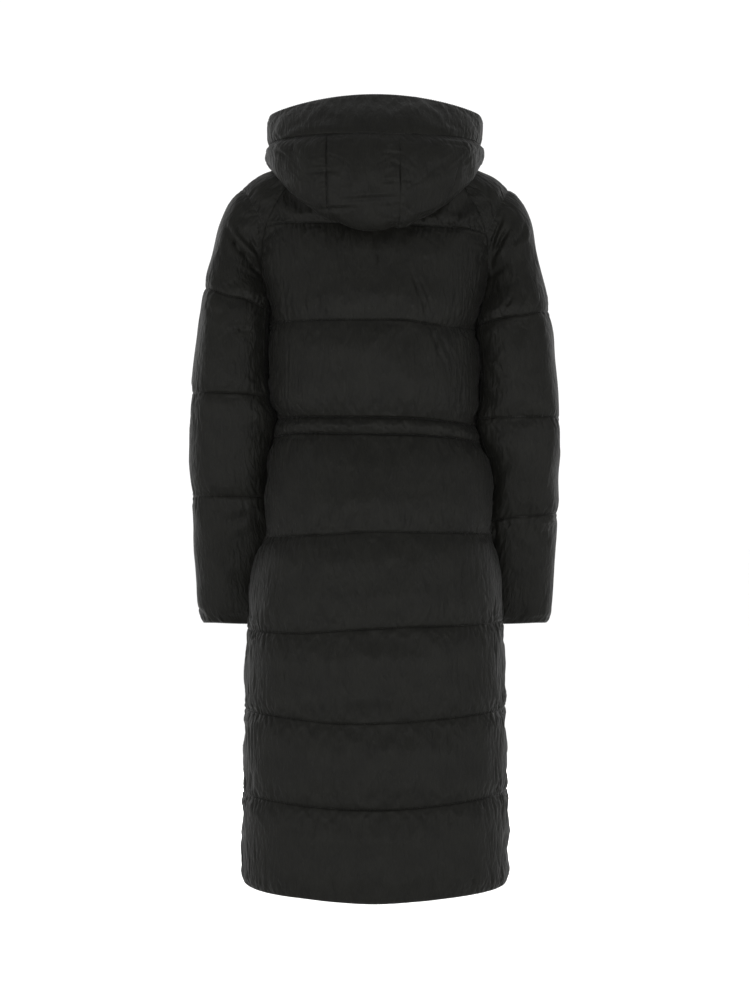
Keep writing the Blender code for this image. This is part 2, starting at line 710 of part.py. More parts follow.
# ---------------------------------------------------------------- the zip
def front_edge_path(panels):
    """The middle of the front closure, from the top of the zip to the hem, and outwards."""
    named = {panel.name: panel for panel in panels}
    columns = [
        (named["hood_brim"].grid[:, 0], named["hood_brim"].normal[:, 0]),
        (named["hood_side_left"].grid[1:, 0], named["hood_side_left"].normal[1:, 0]),
    ]
    for part in ("bodice", "casing", "skirt"):
        panel = named[f"front_{part}_left"]
        columns.append((panel.grid[1:, 0], panel.normal[1:, 0]))
    points = np.concatenate([column[0] for column in columns])
    points[:, 0] = 0
    slope = np.gradient(points, axis=0)
    outward = unit(np.stack([np.zeros(len(points)), slope[:, 2], -slope[:, 1]], axis=1))
    return points, outward


def strip_mesh(name, points, outward, left, right, front, back):
    """A flat strip along a path: its left and right edges, and how deep its faces lie."""
    mesh = bpy.data.meshes.new(name)
    corners = []
    faces = []
    for point, out in zip(points, outward):
        for x, depth in ((left, front), (right, front), (right, back), (left, back)):
            corners.append(point + np.array([x, 0, 0]) - out * depth)
    for i in range(len(points) - 1):
        for k in range(4):
            a, b = 4 * i + k, 4 * i + (k + 1) % 4
            faces.append((a, b, b + 4, a + 4))
    faces.append((3, 2, 1, 0))
    last = 4 * (len(points) - 1)
    faces.append((last, last + 1, last + 2, last + 3))
    mesh.from_pydata([c.tolist() for c in corners], [], faces)
    mesh.update()
    return mesh


def add_zip(panels, collection, cutters, parent):
    points, outward = front_edge_path(panels)
    keep = sorted(set(range(0, len(points), ZIP_STEP)) | {len(points) - 1})
    points, outward = points[keep], outward[keep]
    chain = strip_mesh(
        "zip_chain", points, outward, CHAIN_HALF_WIDTH, -CHAIN_HALF_WIDTH, 0.0, CHAIN_THICK)
    add_object("zip_chain", chain, NYLON_TEETH, collection, parent)
    near = CHAIN_HALF_WIDTH + SEAM_GAP
    far = FRONT_EDGE - SEAM_GAP
    depth = (CHAIN_THICK - TAPE_THICK) / 2
    for side, x1, x2 in (("left", far, near), ("right", -near, -far)):
        tape = strip_mesh(
            "zip_tape_" + side, points, outward, x1, x2, depth, depth + TAPE_THICK)
        add_object("zip_tape_" + side, tape, TAPE_CLOTH, collection, parent)
    return add_slider(points, collection, cutters, parent)


def add_slider(points, collection, cutters, parent):
    """The slider near the top of the zip, and the pull tab that turns in its crown."""
    along = np.concatenate([[0], np.cumsum(np.linalg.norm(np.diff(points, axis=0), axis=1))])
    at = np.array([np.interp(SLIDER_DROP, along, points[:, k]) for k in range(3)])
    reach = SLIDER_DROP + SLIDER_SIZE[2] / 2
    after = np.array([np.interp(reach, along, points[:, k]) for k in range(3)])
    down = unit(after - at)
    outward = np.array([0.0, down[2], -down[1]])
    tilt = math.atan2(down[1], -down[2])

    def beside(depth, drop):
        return at + outward * depth + down * drop

    face = SLIDER_GAP + SLIDER_SIZE[1]
    slider = primitive_box(
        "zip_slider", SLIDER_SIZE, beside(SLIDER_GAP + SLIDER_SIZE[1] / 2, 0), tilt, collection)
    bar_depth = face + CROWN_TUNNEL[0] / 2
    crown = primitive_box(
        "crown_body", CROWN_SIZE, beside(face - CROWN_ROOT + CROWN_SIZE[1] / 2, 0), tilt, cutters)
    add_boolean(slider, crown, "UNION")
    hole_size = (CROWN_SIZE[0] * CUT_THROUGH, CROWN_TUNNEL[0], CROWN_TUNNEL[1])
    tunnel = primitive_box("crown_tunnel", hole_size, beside(bar_depth, 0), tilt, cutters)
    add_boolean(slider, tunnel, "DIFFERENCE")
    slider.data.materials.clear()
    slider.data.materials.append(material("zip_slider", DARK_METAL))
    slider.parent = parent

    # the pull tab hangs plumb; its hinge empty stands on the axis of the bar
    pivot = beside(bar_depth, 0)
    hinge = bpy.data.objects.new("pull_tab_hinge", None)
    hinge.location = pivot
    collection.objects.link(hinge)
    hinge.parent = parent
    middle = (0, 0, TAB_BAR / 2 - TAB_SIZE[2] / 2)
    tab = primitive_box("zip_pull_tab", TAB_SIZE, middle, 0, collection)
    window_size = (TAB_WINDOW[0], TAB_SIZE[1] * CUT_THROUGH, TAB_WINDOW[1])
    window_place = (pivot[0], pivot[1], pivot[2] - TAB_BAR / 2 - TAB_WINDOW[1] / 2)
    window = primitive_box("tab_window", window_size, window_place, 0, cutters)
    add_boolean(tab, window, "DIFFERENCE")
    tab.data.materials.clear()
    tab.data.materials.append(material("zip_pull_tab", DARK_METAL))
    tab.parent = hinge
    return pivot


def main():
    for old in list(bpy.data.objects):
        bpy.data.objects.remove(old)
    collection = bpy.data.collections.new("long_puffer_coat")
    cutters = bpy.data.collections.new("cutters")
    bpy.context.scene.collection.children.link(collection)
    bpy.context.scene.collection.children.link(cutters)
    coat = bpy.data.objects.new("coat", None)
    collection.objects.link(coat)
    panels = body_panels() + sleeve_panels() + hood_panels()
    share_seam_directions(panels)
    for panel in panels:
        add_panel(panel, collection, coat)
    pivot = add_zip(panels, collection, cutters, coat)
    print("pull tab hinge at", [round(float(v), 5) for v in pivot])


main()
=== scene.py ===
"""The looks of a long hooded puffer coat: its filled cloth, stitching and zip, and a plain studio.

Metres, +Z up. The wearer's front faces -Y and the wearer's left is +X; the origin is the
middle of the neck opening. The coat is put together piece by piece, from the back panels
to the zip. Each cloth piece is laid out as a grid of points, from the top down, on the
crest of its filling; stitches, gathers and creases then pull it in or push it out.
"""
import json
import math
from collections import namedtuple

import bmesh
import bpy
import numpy as np
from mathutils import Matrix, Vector, noise


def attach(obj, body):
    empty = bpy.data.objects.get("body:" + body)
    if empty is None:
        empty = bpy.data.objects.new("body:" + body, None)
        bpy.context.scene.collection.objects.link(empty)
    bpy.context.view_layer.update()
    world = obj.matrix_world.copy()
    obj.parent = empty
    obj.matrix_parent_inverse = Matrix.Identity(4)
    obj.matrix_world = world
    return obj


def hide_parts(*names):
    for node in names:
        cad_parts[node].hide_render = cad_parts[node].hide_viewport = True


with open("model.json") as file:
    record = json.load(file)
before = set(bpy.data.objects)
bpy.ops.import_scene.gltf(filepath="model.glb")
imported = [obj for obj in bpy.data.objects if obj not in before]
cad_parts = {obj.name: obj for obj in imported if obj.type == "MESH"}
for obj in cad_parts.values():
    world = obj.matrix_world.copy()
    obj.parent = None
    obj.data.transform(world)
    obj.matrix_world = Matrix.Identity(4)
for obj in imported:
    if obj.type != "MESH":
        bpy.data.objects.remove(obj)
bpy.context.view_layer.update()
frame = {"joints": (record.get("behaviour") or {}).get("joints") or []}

# ---------------------------------------------------------------- studio
# A plain white sweep, lit softly from all round as for a catalogue: a bright surround,
# softboxes behind and beside the coat that rim it, a fill, and weaker ones for its front.
CAMERA_PLACE = (0.0, 2.9, -0.54)
CAMERA_LENS = 65.25                 # 1.6 m fill the picture's height at the coat
FLOOR_HEIGHT = -1.42                # where the wearer's soles would be
FLOOR_SIZE = 60.0
SURROUND = 1.07


def add_object(name, data):
    made = bpy.data.objects.new(name, data)
    bpy.context.scene.collection.objects.link(made)
    return made


def set_inputs(node, values):
    for name, value in values.items():
        node.inputs[name].default_value = value


def new_material(name, values):
    """A material with its Principled BSDF's inputs set; its node tree and that shader too."""
    made = bpy.data.materials.new(name)
    made.use_nodes = True
    shader = made.node_tree.nodes["Principled BSDF"]
    set_inputs(shader, values)
    return made, made.node_tree, shader


camera_data = bpy.data.cameras.new("camera")
camera_data.sensor_width = 36.0
camera_data.lens = CAMERA_LENS
camera = add_object("camera", camera_data)
camera.location = CAMERA_PLACE
camera.rotation_euler = (math.radians(90), 0, math.radians(180))
bpy.context.scene.camera = camera
bpy.context.scene.view_settings.view_transform = "Standard"

studio = bpy.data.worlds.new("studio")
studio.use_nodes = True
set_inputs(studio.node_tree.nodes["Background"], {
    "Color": (1, 1, 1, 1), "Strength": SURROUND})
bpy.context.scene.world = studio

reach = FLOOR_SIZE / 2
floor_mesh = bpy.data.meshes.new("floor")
corners = ((-reach, -reach), (reach, -reach), (reach, reach), (-reach, reach))
floor_mesh.from_pydata([(x, y, FLOOR_HEIGHT) for x, y in corners], [], [(0, 1, 2, 3)])
floor = add_object("floor", floor_mesh)
paper = new_material("studio_paper", {"Base Color": (0.95, 0.95, 0.95, 1), "Roughness": 0.9})
floor_mesh.materials.append(paper[0])

Softbox = namedtuple("Softbox", "name place target width height power mirrored")
SOFTBOXES = (
    Softbox("softbox_back_left", (1.5, 2.6, -1.3), (0, 0, -1.1), 0.9, 0.9, 42, True),
    Softbox("softbox_back_right", (-1.5, 2.6, -1.3), (0, 0, -1.1), 0.9, 0.9, 42, True),
    Softbox("softbox_side_left", (2.6, 0.9, -0.9), (0, 0, -0.8), 0.9, 1.2, 8, True),
    Softbox("softbox_side_right", (-2.6, 0.9, -0.9), (0, 0, -0.8), 0.9, 1.2, 8, True),
    Softbox("softbox_back_fill", (0, 3.1, -1.2), (0, 0, -1.2), 1.4, 0.5, 70, False),
    Softbox("softbox_front_left", (2.2, -2.0, 0.2), (0, 0, -0.6), 0.9, 2.4, 16, True),
    Softbox("softbox_front_right", (-2.2, -2.0, 0.2), (0, 0, -0.6), 0.9, 2.4, 16, True),
    Softbox("softbox_front_fill", (0, -3.1, -0.8), (0, 0, -0.8), 1.4, 0.9, 90, False),
)
for box in SOFTBOXES:
    lamp = bpy.data.lights.new(box.name, "AREA")
    lamp.shape = "RECTANGLE"
    lamp.size = box.width
    lamp.size_y = box.height
    lamp.energy = box.power
    stand = add_object(box.name, lamp)
    stand.location = box.place
    stand.visible_glossy = box.mirrored     # the fill lights the cloth but has no reflection
    aim = Vector(box.target) - Vector(box.place)
    stand.rotation_euler = aim.to_track_quat("-Z", "Y").to_euler()


# ---------------------------------------------------------------- back panels
# The back is cut in three: the bodice from the neck to the waist, the narrow casing of the
# waist cord, and the long skirt. Each is thin nylon over filling, quilted straight across
# every 15 cm, so that between two stitch lines it stands out like a flat pillow.
SIDES = {"left": 1, "right": -1}    # and the sign of x on each
STATIONS = np.array([-1, -0.8, -0.55, -0.28, 0, 0.28, 0.55, 0.8, 1])
Line = namedtuple("Line", "name back front front_left front_right rows")
# The lines round the body. back: heights in millimetres at the stations, from the right
# side seam to the left one. front: at the front edge and the ends. rows: modelled below it.
LINES = (
    Line("neck", (10, 13.6, 17.4, 20.4, 22, 20.4, 17.4, 13.6, 10), -75, -22, -22, 40),
    Line("yoke", (-122, -117.6, -115.9, -114.6, -113.1, -111.6, -110.2, -108.7, -111),
         -150, -118, -122, 40),
    Line("underarm", (-235,) * 9, -235, -235, -235, 12),
    Line("chest", (-269.6, -270.2, -269.1, -263.5, -263.7, -263.3, -262.6, -262, -260.5),
         -266, -260.5, -269.6, 48),
    Line("casing_top", (-422.9, -419.9, -415.7, -413.2, -412.4, -412.1, -411.5, -410.6, -411.4),
         -415, -411.4, -422.9, 16),
    Line("casing_bottom",
         (-450.1, -444.4, -441.1, -439.4, -438.5, -437.9, -436.6, -435.8, -440.4),
         -442, -440.4, -450.1, 48),
    Line("hip", (-592.3, -591.2, -589.8, -588.4, -587.3, -590.1, -593.2, -595.1, -596.3),
         -590, -596.3, -592.3, 48),
    Line("thigh", (-731, -732.1, -733, -733.3, -736.1, -739.5, -743.9, -744.6, -744.8),
         -738, -744.8, -731, 48),
    Line("knee", (-868.5, -870.8, -874, -877.7, -880.1, -880.2, -876.1, -872.7, -871.5),
         -880, -871.5, -868.5, 44),
    Line("calf", (-999.9, -1001.9, -1005.5, -1009.6, -1011.4, -1010.4, -1007.3, -1003.8, -1003),
         -1011, -1003, -999.9, 48),
    Line("hem", (-1148, -1148.4, -1149.8, -1152.7, -1155.1, -1153, -1150, -1149.1, -1148),
         -1155, -1148, -1148, 0),
)
NAMES = [line.name for line in LINES]

# The crest of the filled body: half widths to the left and right, depths behind and before.
Section = namedtuple("Section", "z left right back front")
BODY = (
    Section(0.022, 0.092, 0.092, 0.085, 0.088),
    Section(-0.055, 0.130, 0.130, 0.104, 0.088),
    Section(-0.110, 0.160, 0.160, 0.117, 0.100),
    Section(-0.150, 0.166, 0.166, 0.124, 0.108),
    Section(-0.235, 0.168, 0.168, 0.131, 0.121),
    Section(-0.264, 0.170, 0.162, 0.132, 0.124),
    Section(-0.310, 0.171, 0.166, 0.132, 0.126),
    Section(-0.350, 0.170, 0.168, 0.129, 0.124),
    Section(-0.385, 0.165, 0.167, 0.124, 0.118),
    Section(-0.412, 0.157, 0.161, 0.117, 0.111),
    Section(-0.445, 0.164, 0.168, 0.119, 0.113),
    Section(-0.480, 0.171, 0.182, 0.127, 0.121),
    Section(-0.527, 0.174, 0.188, 0.135, 0.129),
    Section(-0.594, 0.175, 0.187, 0.142, 0.135),
    Section(-0.634, 0.190, 0.195, 0.146, 0.138),
    Section(-0.674, 0.199, 0.201, 0.148, 0.140),
    Section(-0.735, 0.204, 0.205, 0.150, 0.142),
    Section(-0.900, 0.2085, 0.209, 0.152, 0.144),
    Section(-1.080, 0.212, 0.213, 0.153, 0.145),
    Section(-1.125, 0.212, 0.213, 0.152, 0.144),
    Section(-1.150, 0.210, 0.211, 0.152, 0.144),
)

# The raglan seams of the left shoulder, from the neck to the underarm; the right mirrors them.
Raglan = namedtuple("Raglan", "z x y")
BACK_RAGLAN = (
    Raglan(0.010, 0.0780, 0.0451),
    Raglan(-0.022, 0.1130, 0.0660),
    Raglan(-0.055, 0.1410, 0.0780),
    Raglan(-0.094, 0.1650, 0.0740),
    Raglan(-0.115, 0.1730, 0.0660),
    Raglan(-0.153, 0.1800, 0.0500),
    Raglan(-0.200, 0.1770, 0.0260),
    Raglan(-0.235, 0.1680, 0.0000),
)
FRONT_RAGLAN = (
    Raglan(-0.022, 0.0780, -0.0478),
    Raglan(-0.052, 0.1130, -0.0640),
    Raglan(-0.085, 0.1400, -0.0720),
    Raglan(-0.120, 0.1630, -0.0680),
    Raglan(-0.155, 0.1720, -0.0520),
    Raglan(-0.200, 0.1740, -0.0260),
    Raglan(-0.235, 0.1680, 0.0000),
)
NECK_HALF_WIDTH = 0.092
NECK_BACK = 0.085
NECK_FRONT = 0.090
NECK_BACK_RISE = 0.022
NECK_FRONT_DROP = 0.075
UNDERARM = -0.235
ROUNDNESS = 2.3             # exponent of the plan outline, 2 being an ellipse
NECK_EASE = 0.35            # share of the yoke in which the neck's curve eases into the back's
BUNCHING = 0.45             # how much closer rows are modelled beside a stitch line
BACK_COLUMNS = 272

SEAM_GAP = 0.00005          # clear space between two pieces at their seam
STITCHED = 0.003            # the wall's thickness on a stitch line
FILLED = 0.015              # and where it is full
CASING_FILLED = 0.007
GROOVE = 0.0085             # how deep a quilt line lies in the middle of the back
GROOVE_SIDE = 0.0015        # and at the side seams
SIDE_POWER = 4
PILLOW = 0.024              # how far from its line the cloth has risen to its full height
CASING_PILLOW = 0.012
SEAM_SINK = 0.0025          # how deep a lengthwise seam lies
SEAM_PILLOW = 0.014
TURN_REACH = 0.02           # how far from a seam the cloth keeps the way out it has there
RAGLAN_MIDDLE = (0.075, -0.13)      # x and z of the line that the left raglan faces away from
RAGLAN_FLAT = 0.045         # so far above the underarm the raglan seam doesn't sink in yet
RAGLAN_RISE = 0.04          # and over this height it sinks to its full depth


def smooth_curve(keys, values, at):
    """A curve through values at rising keys that never overshoots them, read at places."""
    keys = np.asarray(keys, dtype=float)
    values = np.asarray(values, dtype=float)
    steps = np.diff(values) / np.diff(keys)
    slopes = np.concatenate(([steps[0]], (steps[1:] + steps[:-1]) / 2, [steps[-1]]))
    slopes[np.concatenate(([False], steps[1:] * steps[:-1] <= 0, [False]))] = 0.0
    at = np.clip(at, keys[0], keys[-1])
    i = np.clip(np.searchsorted(keys, at) - 1, 0, len(keys) - 2)
    span = keys[i + 1] - keys[i]
    t = (at - keys[i]) / span
    blend = t * t * (3 - 2 * t)
    lead = t * (1 - t) ** 2 * slopes[i] - t * t * (1 - t) * slopes[i + 1]
    return values[i] * (1 - blend) + values[i + 1] * blend + span * lead


def follow(table, key, column, at):
    """One column of a table, read as a smooth curve over its key column."""
    rows = sorted(table, key=lambda row: getattr(row, key))
    keys = [getattr(row, key) for row in rows]
    return smooth_curve(keys, [getattr(row, column) for row in rows], at)


def mix(a, b, t):
    return a + (b - a) * t


def unit(vectors):
    return vectors / np.maximum(np.linalg.norm(vectors, axis=-1, keepdims=True), 1e-12)


def bunched(count, above=True, below=True):
    """Shares from 0 to 1, closer together towards the ends that are stitched."""
    t = np.linspace(0, 1, count + 1)
    if above and below:
        return t - BUNCHING * np.sin(2 * math.pi * t) / (2 * math.pi)
    return t + BUNCHING * np.sin(math.pi * t) / math.pi * (-1 if above else 1)


Row = namedtuple("Row", "upper lower share")


def panel_rows(first, last):
    """The rows of a panel between two lines, and the places of the stitch lines in them."""
    rows = []
    marks = {}
    for i in range(NAMES.index(first), NAMES.index(last)):
        upper, lower = LINES[i], LINES[i + 1]
        marks[upper.name] = len(rows)
        shares = bunched(upper.rows, upper.name != "underarm", lower.name != "underarm")
        rows += [Row(upper, lower, t) for t in shares[:-1]]
    marks[last] = len(rows)
    rows.append(Row(LINES[NAMES.index(last) - 1], LINES[NAMES.index(last)], 1.0))
    for unquilted in ("neck", "underarm"):
        marks.pop(unquilted, None)
    return rows, marks


def back_heights(row):
    """The row's heights at the stations, in metres."""
    return mix(np.array(row.upper.back), np.array(row.lower.back), row.share) / 1000


def front_end(row, side):
    """The height of a front row's end at the side or raglan seam, in metres."""
    return mix(*(getattr(line, "front_" + side) for line in row[:2]), row.share) / 1000


def side_point(z, side, face):
    """The end of a body row at the side seam or, above the underarm, at the raglan seam."""
    mirror = SIDES[side]
    if z > UNDERARM - 1e-6:
        raglan = BACK_RAGLAN if face == "back" else FRONT_RAGLAN
        return np.array([mirror * follow(raglan, "z", "x", z), follow(raglan, "z", "y", z), z])
    return np.array([mirror * follow(BODY, "z", side, z), 0.0, z])


def neck_point(angle):
    """A point of the neck seam; the angle is 0 behind, 90 degrees at the wearer's left."""
    behind = math.cos(angle) >= 0
    depth = NECK_BACK if behind else NECK_FRONT
    rise = NECK_BACK_RISE if behind else NECK_FRONT_DROP
    return np.array([
        NECK_HALF_WIDTH * math.sin(angle), depth * math.cos(angle), rise * math.cos(angle)])


def round_row(end, depth, shares, start=0.0):
    """Half widths and depths round the body, at shares of the turn from its middle to its end.

    Share 0 stands at the half width start.
    """
    reach = min(abs(end[1] / depth), 1.0)
    half = abs(end[0]) / (1 - reach ** ROUNDNESS) ** (1 / ROUNDNESS)
    turn = math.atan2((abs(end[0]) / half) ** (ROUNDNESS / 2), reach ** (ROUNDNESS / 2))
    angles = mix(math.asin((start / half) ** (ROUNDNESS / 2)), turn, np.abs(shares))
    return half * np.sin(angles) ** (2 / ROUNDNESS), depth * np.cos(angles) ** (2 / ROUNDNESS)


def ease_neck(crest, rows, neck):
    """Bend the rows below the neck so that they start on the neck seam."""
    lift = neck - crest[0]
    for r, row in enumerate(rows):
        if row.upper.name == "neck" and row.share < NECK_EASE:
            crest[r] += lift * (1 - row.share / NECK_EASE) ** 2


def back_crest(rows):
    """The back on the crest of its filling, its columns from the left end to the right."""
    shares = np.linspace(1, -1, BACK_COLUMNS + 1)
    crest = np.zeros((len(rows), len(shares), 3))
    for r, row in enumerate(rows):
        heights = back_heights(row)
        depth = follow(BODY, "z", "back", heights[4])
        for side, part in (("left", shares >= 0), ("right", shares < 0)):
            end = side_point(heights[-1 if side == "left" else 0], side, "back")
            x, y = round_row(end, depth, shares[part])
            x = x if side == "left" else -x
            z = smooth_curve(STATIONS, heights, x / abs(end[0]))
            crest[r, part] = np.stack([x, y, z], axis=1)
    if rows[0].upper.name == "neck":
        end = side_point(LINES[0].back[-1] / 1000, "left", "back")
        limit = math.atan2(end[0] / NECK_HALF_WIDTH, end[1] / NECK_BACK)
        ease_neck(crest, rows, np.array([neck_point(share * limit) for share in shares]))
    return crest


def lengths(grid, axis):
    """The distance travelled along the columns (0) or the rows (1) of a grid."""
    steps = np.linalg.norm(np.diff(grid, axis=axis), axis=-1)
    start = np.zeros_like(steps[:1] if axis == 0 else steps[:, :1])
    return np.cumsum(np.concatenate([start, steps], axis=axis), axis=axis)


def pillow(distance, reach):
    """1 on a stitch line, 0 at its reach: the cloth rises round, as the side of a tube."""
    near = 1 - np.clip(distance / reach, 0, 1)
    return 1 - np.sqrt(np.maximum(1 - near ** 2, 0))


def soften(grid, passes):
    """Each point drawn towards its neighbours, so many times over."""
    for _ in range(passes):
        for axis in (0, 1):
            grid = np.moveaxis(grid, axis, 0)
            inner = (grid[:-2] + 2 * grid[1:-1] + grid[2:]) / 4
            grid = np.concatenate([grid[:1], inner, grid[-1:]])
            grid = np.moveaxis(grid, 0, axis)
    return grid


class Cloth:
    """A cut piece on its way to a finished mesh: its crest, and how far it is raised."""

    def __init__(self, name, crest, filled, straight=None):
        """straight is the column that the cloth's threads follow, else the middle one."""
        self.name = name
        self.crest = crest
        self.filled = filled
        self.down = lengths(crest, 0)
        self.across = lengths(crest, 1)
        straight = crest.shape[1] // 2 if straight is None else straight
        self.across -= self.across[:, [straight]]
        self.normal = unit(np.cross(np.gradient(crest, axis=0), np.gradient(crest, axis=1)))
        self.sink = np.zeros(crest.shape[:2])
        self.seamed = np.zeros(crest.shape[:2])
        self.raised = np.zeros(crest.shape[:2])
        self.stitched = []

    def press(self, distance, depth, reach):
        shape = pillow(distance, reach)
        self.sink = np.maximum(self.sink, shape * depth)
        self.seamed = np.maximum(self.seamed, shape)

    def turn(self, away, directions):
        """Lead the piece's outward directions over to given ones, close to a seam."""
        near = np.clip(1 - away / TURN_REACH, 0, 1)[..., None] ** 2
        self.normal = unit(mix(self.normal, directions, near))

    def quilt(self, row, depth, reach, directions=None):
        """Stitch the piece down along a row; directions lead out of the coat along it."""
        away = np.abs(self.down - self.down[row])
        self.press(away, depth, reach)
        self.stitched.append(row)
        if directions is not None:
            self.turn(away, directions[None, :, :])

    def join(self, column, depth, reach, directions=None):
        """Sew the first or last column on; directions lead out of the coat along the seam."""
        away = np.abs(self.across - self.across[:, [column]])
        self.press(away, depth, reach)
        if directions is not None:
            self.turn(away, directions[:, None, :])

    def outer(self):
        return self.crest + self.normal * (self.raised - self.sink)[..., None]

    def inner(self):
        thickness = mix(self.filled, STITCHED, self.seamed)
        return self.crest - self.normal * (self.sink + thickness)[..., None]


def level_directions(cloth, row):
    """The level way out of the coat along a row, the same for the pieces above and below."""
    return unit(cloth.normal[row] * (1, 1, 0))


def raglan_directions(points):
    """The way out of the coat along a raglan seam, the same for bodice and sleeve."""
    aside = points[:, :1] - RAGLAN_MIDDLE[0] * np.sign(points[:, :1])
    rise = np.maximum(points[:, 2:] - RAGLAN_MIDDLE[1], 0)
    return unit(np.concatenate([aside, points[:, 1:2], rise], axis=1))


def raglan_depth(heights):
    """How deep the raglan seam lies at heights: it runs out under the arm."""
    return SEAM_SINK * np.clip((heights - UNDERARM - RAGLAN_FLAT) / RAGLAN_RISE, 0, 1)


PUCKER_WIDTHS = (0.0014, 0.0026)    # the narrowest and the widest thin crease
PUCKER_LENGTHS = (0.008, 0.024)     # beside a stitch line
PUCKER_EXTRA = 0.045                # and how much longer the strongest get
PUCKER_START = 0.003                # over this distance from the thread they deepen
PUCKER_REACH = 0.07                 # no pucker is felt further along its line than this


def furrow(aside, width):
    """The cross section of a thin crease: a narrow trough between soft shoulders."""
    shoulders = 0.45 * np.exp(-(aside / (2.6 * width)) ** 2)
    return shoulders - 1.45 * np.exp(-(np.abs(aside) / width) ** 1.5)


def gather(cloth, line, power, seed, spacing=0.010, height=0.0027, ways=(-1, 1), upright=False):
    """Short puckers beside a stitch line, where the thread draws the cloth in.

    The line is a row or, upright, a column. power says how strong they are along it; they
    lean towards the middle of the piece.
    """
    draw = np.random.RandomState(seed)
    across, down, raised = cloth.across, cloth.down, cloth.raised
    if upright:
        across, down, raised = down.T, across.T, raised.T
    along = across[line]
    middle, half = (along[0] + along[-1]) / 2, (along[-1] - along[0]) / 2
    for way in ways:
        place = along[0] + draw.uniform(0, spacing)
        while place < along[-1]:
            strength = np.interp(place, along, power)
            length = draw.uniform(*PUCKER_LENGTHS) + PUCKER_EXTRA * strength * draw.rand() ** 2
            width = draw.uniform(*PUCKER_WIDTHS)
            lift = height * strength * draw.uniform(0.25, 1.0)
            lean = -0.55 * (place - middle) / half + draw.normal(0, 0.25)
            bend = draw.normal(0, 6.0)
            ends = np.searchsorted(along, (place - PUCKER_REACH, place + PUCKER_REACH))
            part = (slice(None), slice(*ends))
            away = (down[part] - down[line, part[1]]) * way
            aside = across[part] - place - lean * away - bend * away ** 2
            spread = width * (1 + 0.7 * np.maximum(away, 0) / length)
            fade = np.clip(1 - away / length, 0, 1) ** 1.3 * np.clip(away / PUCKER_START, 0, 1)
            raised[part] += lift * fade * furrow(aside, spread)
            place += spacing * draw.uniform(0.4, 1.7)


DRAG_REACH = 24             # columns to each side that a long fold is worked out for


def drag(cloth, seed, count, height, size=(0.05, 0.12)):
    """Long faint folds down the cloth, from its own weight."""
    draw = np.random.RandomState(seed)
    for _ in range(count):
        r = draw.randint(cloth.crest.shape[0])
        c = draw.randint(cloth.crest.shape[1])
        length = draw.uniform(*size) / 2
        width = draw.uniform(*PUCKER_WIDTHS)
        lean = draw.normal(0, 0.10)
        bend = draw.normal(0, 2.0)
        lift = height * draw.uniform(0.3, 1.0)
        columns = slice(max(c - DRAG_REACH, 0), c + DRAG_REACH + 1)
        down = cloth.down[:, columns] - cloth.down[r, c]
        aside = cloth.across[:, columns] - cloth.across[r, c] - lean * down - bend * down ** 2
        fade = np.clip(1 - (down / length) ** 2, 0, 1) ** 2 * (1 - cloth.seamed[:, columns])
        cloth.raised[:, columns] += lift * fade * furrow(aside, width)


def ripple(cloth, seed, size, height, stretch=1.0):
    """Broad soft unevenness of the filling.

    It is worked out at every fourth point, so a piece has a multiple of four rows and of
    four columns of faces.
    """
    shift = Vector((seed * 7.3, seed * 3.1, seed * 1.7))
    points = cloth.crest[::4, ::4]
    values = [noise.noise(Vector((x / size, y / size, z / size / stretch)) + shift)
              for x, y, z in points.reshape(-1, 3).tolist()]
    coarse = np.array(values).reshape(points.shape[:2])
    cloth.raised += spread_out(spread_out(coarse)) * height * (1 - cloth.seamed)


def spread_out(coarse):
    """A grid twice as fine, through the values of a coarse one."""
    for axis in (0, 1):
        coarse = np.moveaxis(coarse, axis, 0)
        ahead = np.concatenate([coarse[2:], 2 * coarse[-1:] - coarse[-2:-1]])
        behind = np.concatenate([2 * coarse[:1] - coarse[1:2], coarse[:-2]])
        finer = np.empty((2 * len(coarse) - 1,) + coarse.shape[1:])
        finer[::2] = coarse
        finer[1::2] = (9 * (coarse[:-1] + coarse[1:]) - behind - ahead) / 16
        coarse = np.moveaxis(finer, 0, axis)
    return coarse


# A crease, given point by point: places (x, z) along it as seen from behind, the depth and half
# width of its trough, and the height of the fold that stands to the right of its run.
Crease = namedtuple("Crease", "path depth width fold")
CREASE_REACH = 0.03         # a crease is worked out this far beyond the box round its path


def lay_creases(cloth, creases, facing=1):
    """Creases on the side of a piece that faces behind (1) or forwards (-1)."""
    x, z = cloth.crest[..., 0], cloth.crest[..., 2]
    seen = np.clip(cloth.normal[..., 1] * facing * 4, 0, 1)
    for one in creases:
        path = np.array(one.path)
        lows, highs = path.min(0) - CREASE_REACH, path.max(0) + CREASE_REACH
        near = (x > lows[0]) & (x < highs[0]) & (z > lows[1]) & (z < highs[1])
        if not near.any():
            continue
        px, pz = x[near], z[near]
        steps = np.linalg.norm(np.diff(path, axis=0), axis=1)
        best = np.full(px.shape, 9.0)
        offset = np.zeros(px.shape)
        along = np.zeros(px.shape)
        travelled = 0.0
        for start, end, length in zip(path, path[1:], steps):
            run = (end - start) / length
            t = np.clip((px - start[0]) * run[0] + (pz - start[1]) * run[1], 0, length)
            dx = px - start[0] - t * run[0]
            dz = pz - start[1] - t * run[1]
            distance = np.hypot(dx, dz)
            closer = distance < best
            best[closer] = distance[closer]
            offset[closer] = (np.sign(run[1] * dx - run[0] * dz) * distance)[closer]
            along[closer] = ((travelled + t) / steps.sum())[closer]
            travelled += length
        taper = np.sin(np.clip(along, 0.03, 0.97) * math.pi) ** 0.7
        trough = one.depth * np.exp(-(offset / one.width) ** 2)
        fold = one.fold * np.exp(-((offset - 1.9 * one.width) / (1.3 * one.width)) ** 2)
        cloth.raised[near] += taper * (fold - trough) * seen[near]


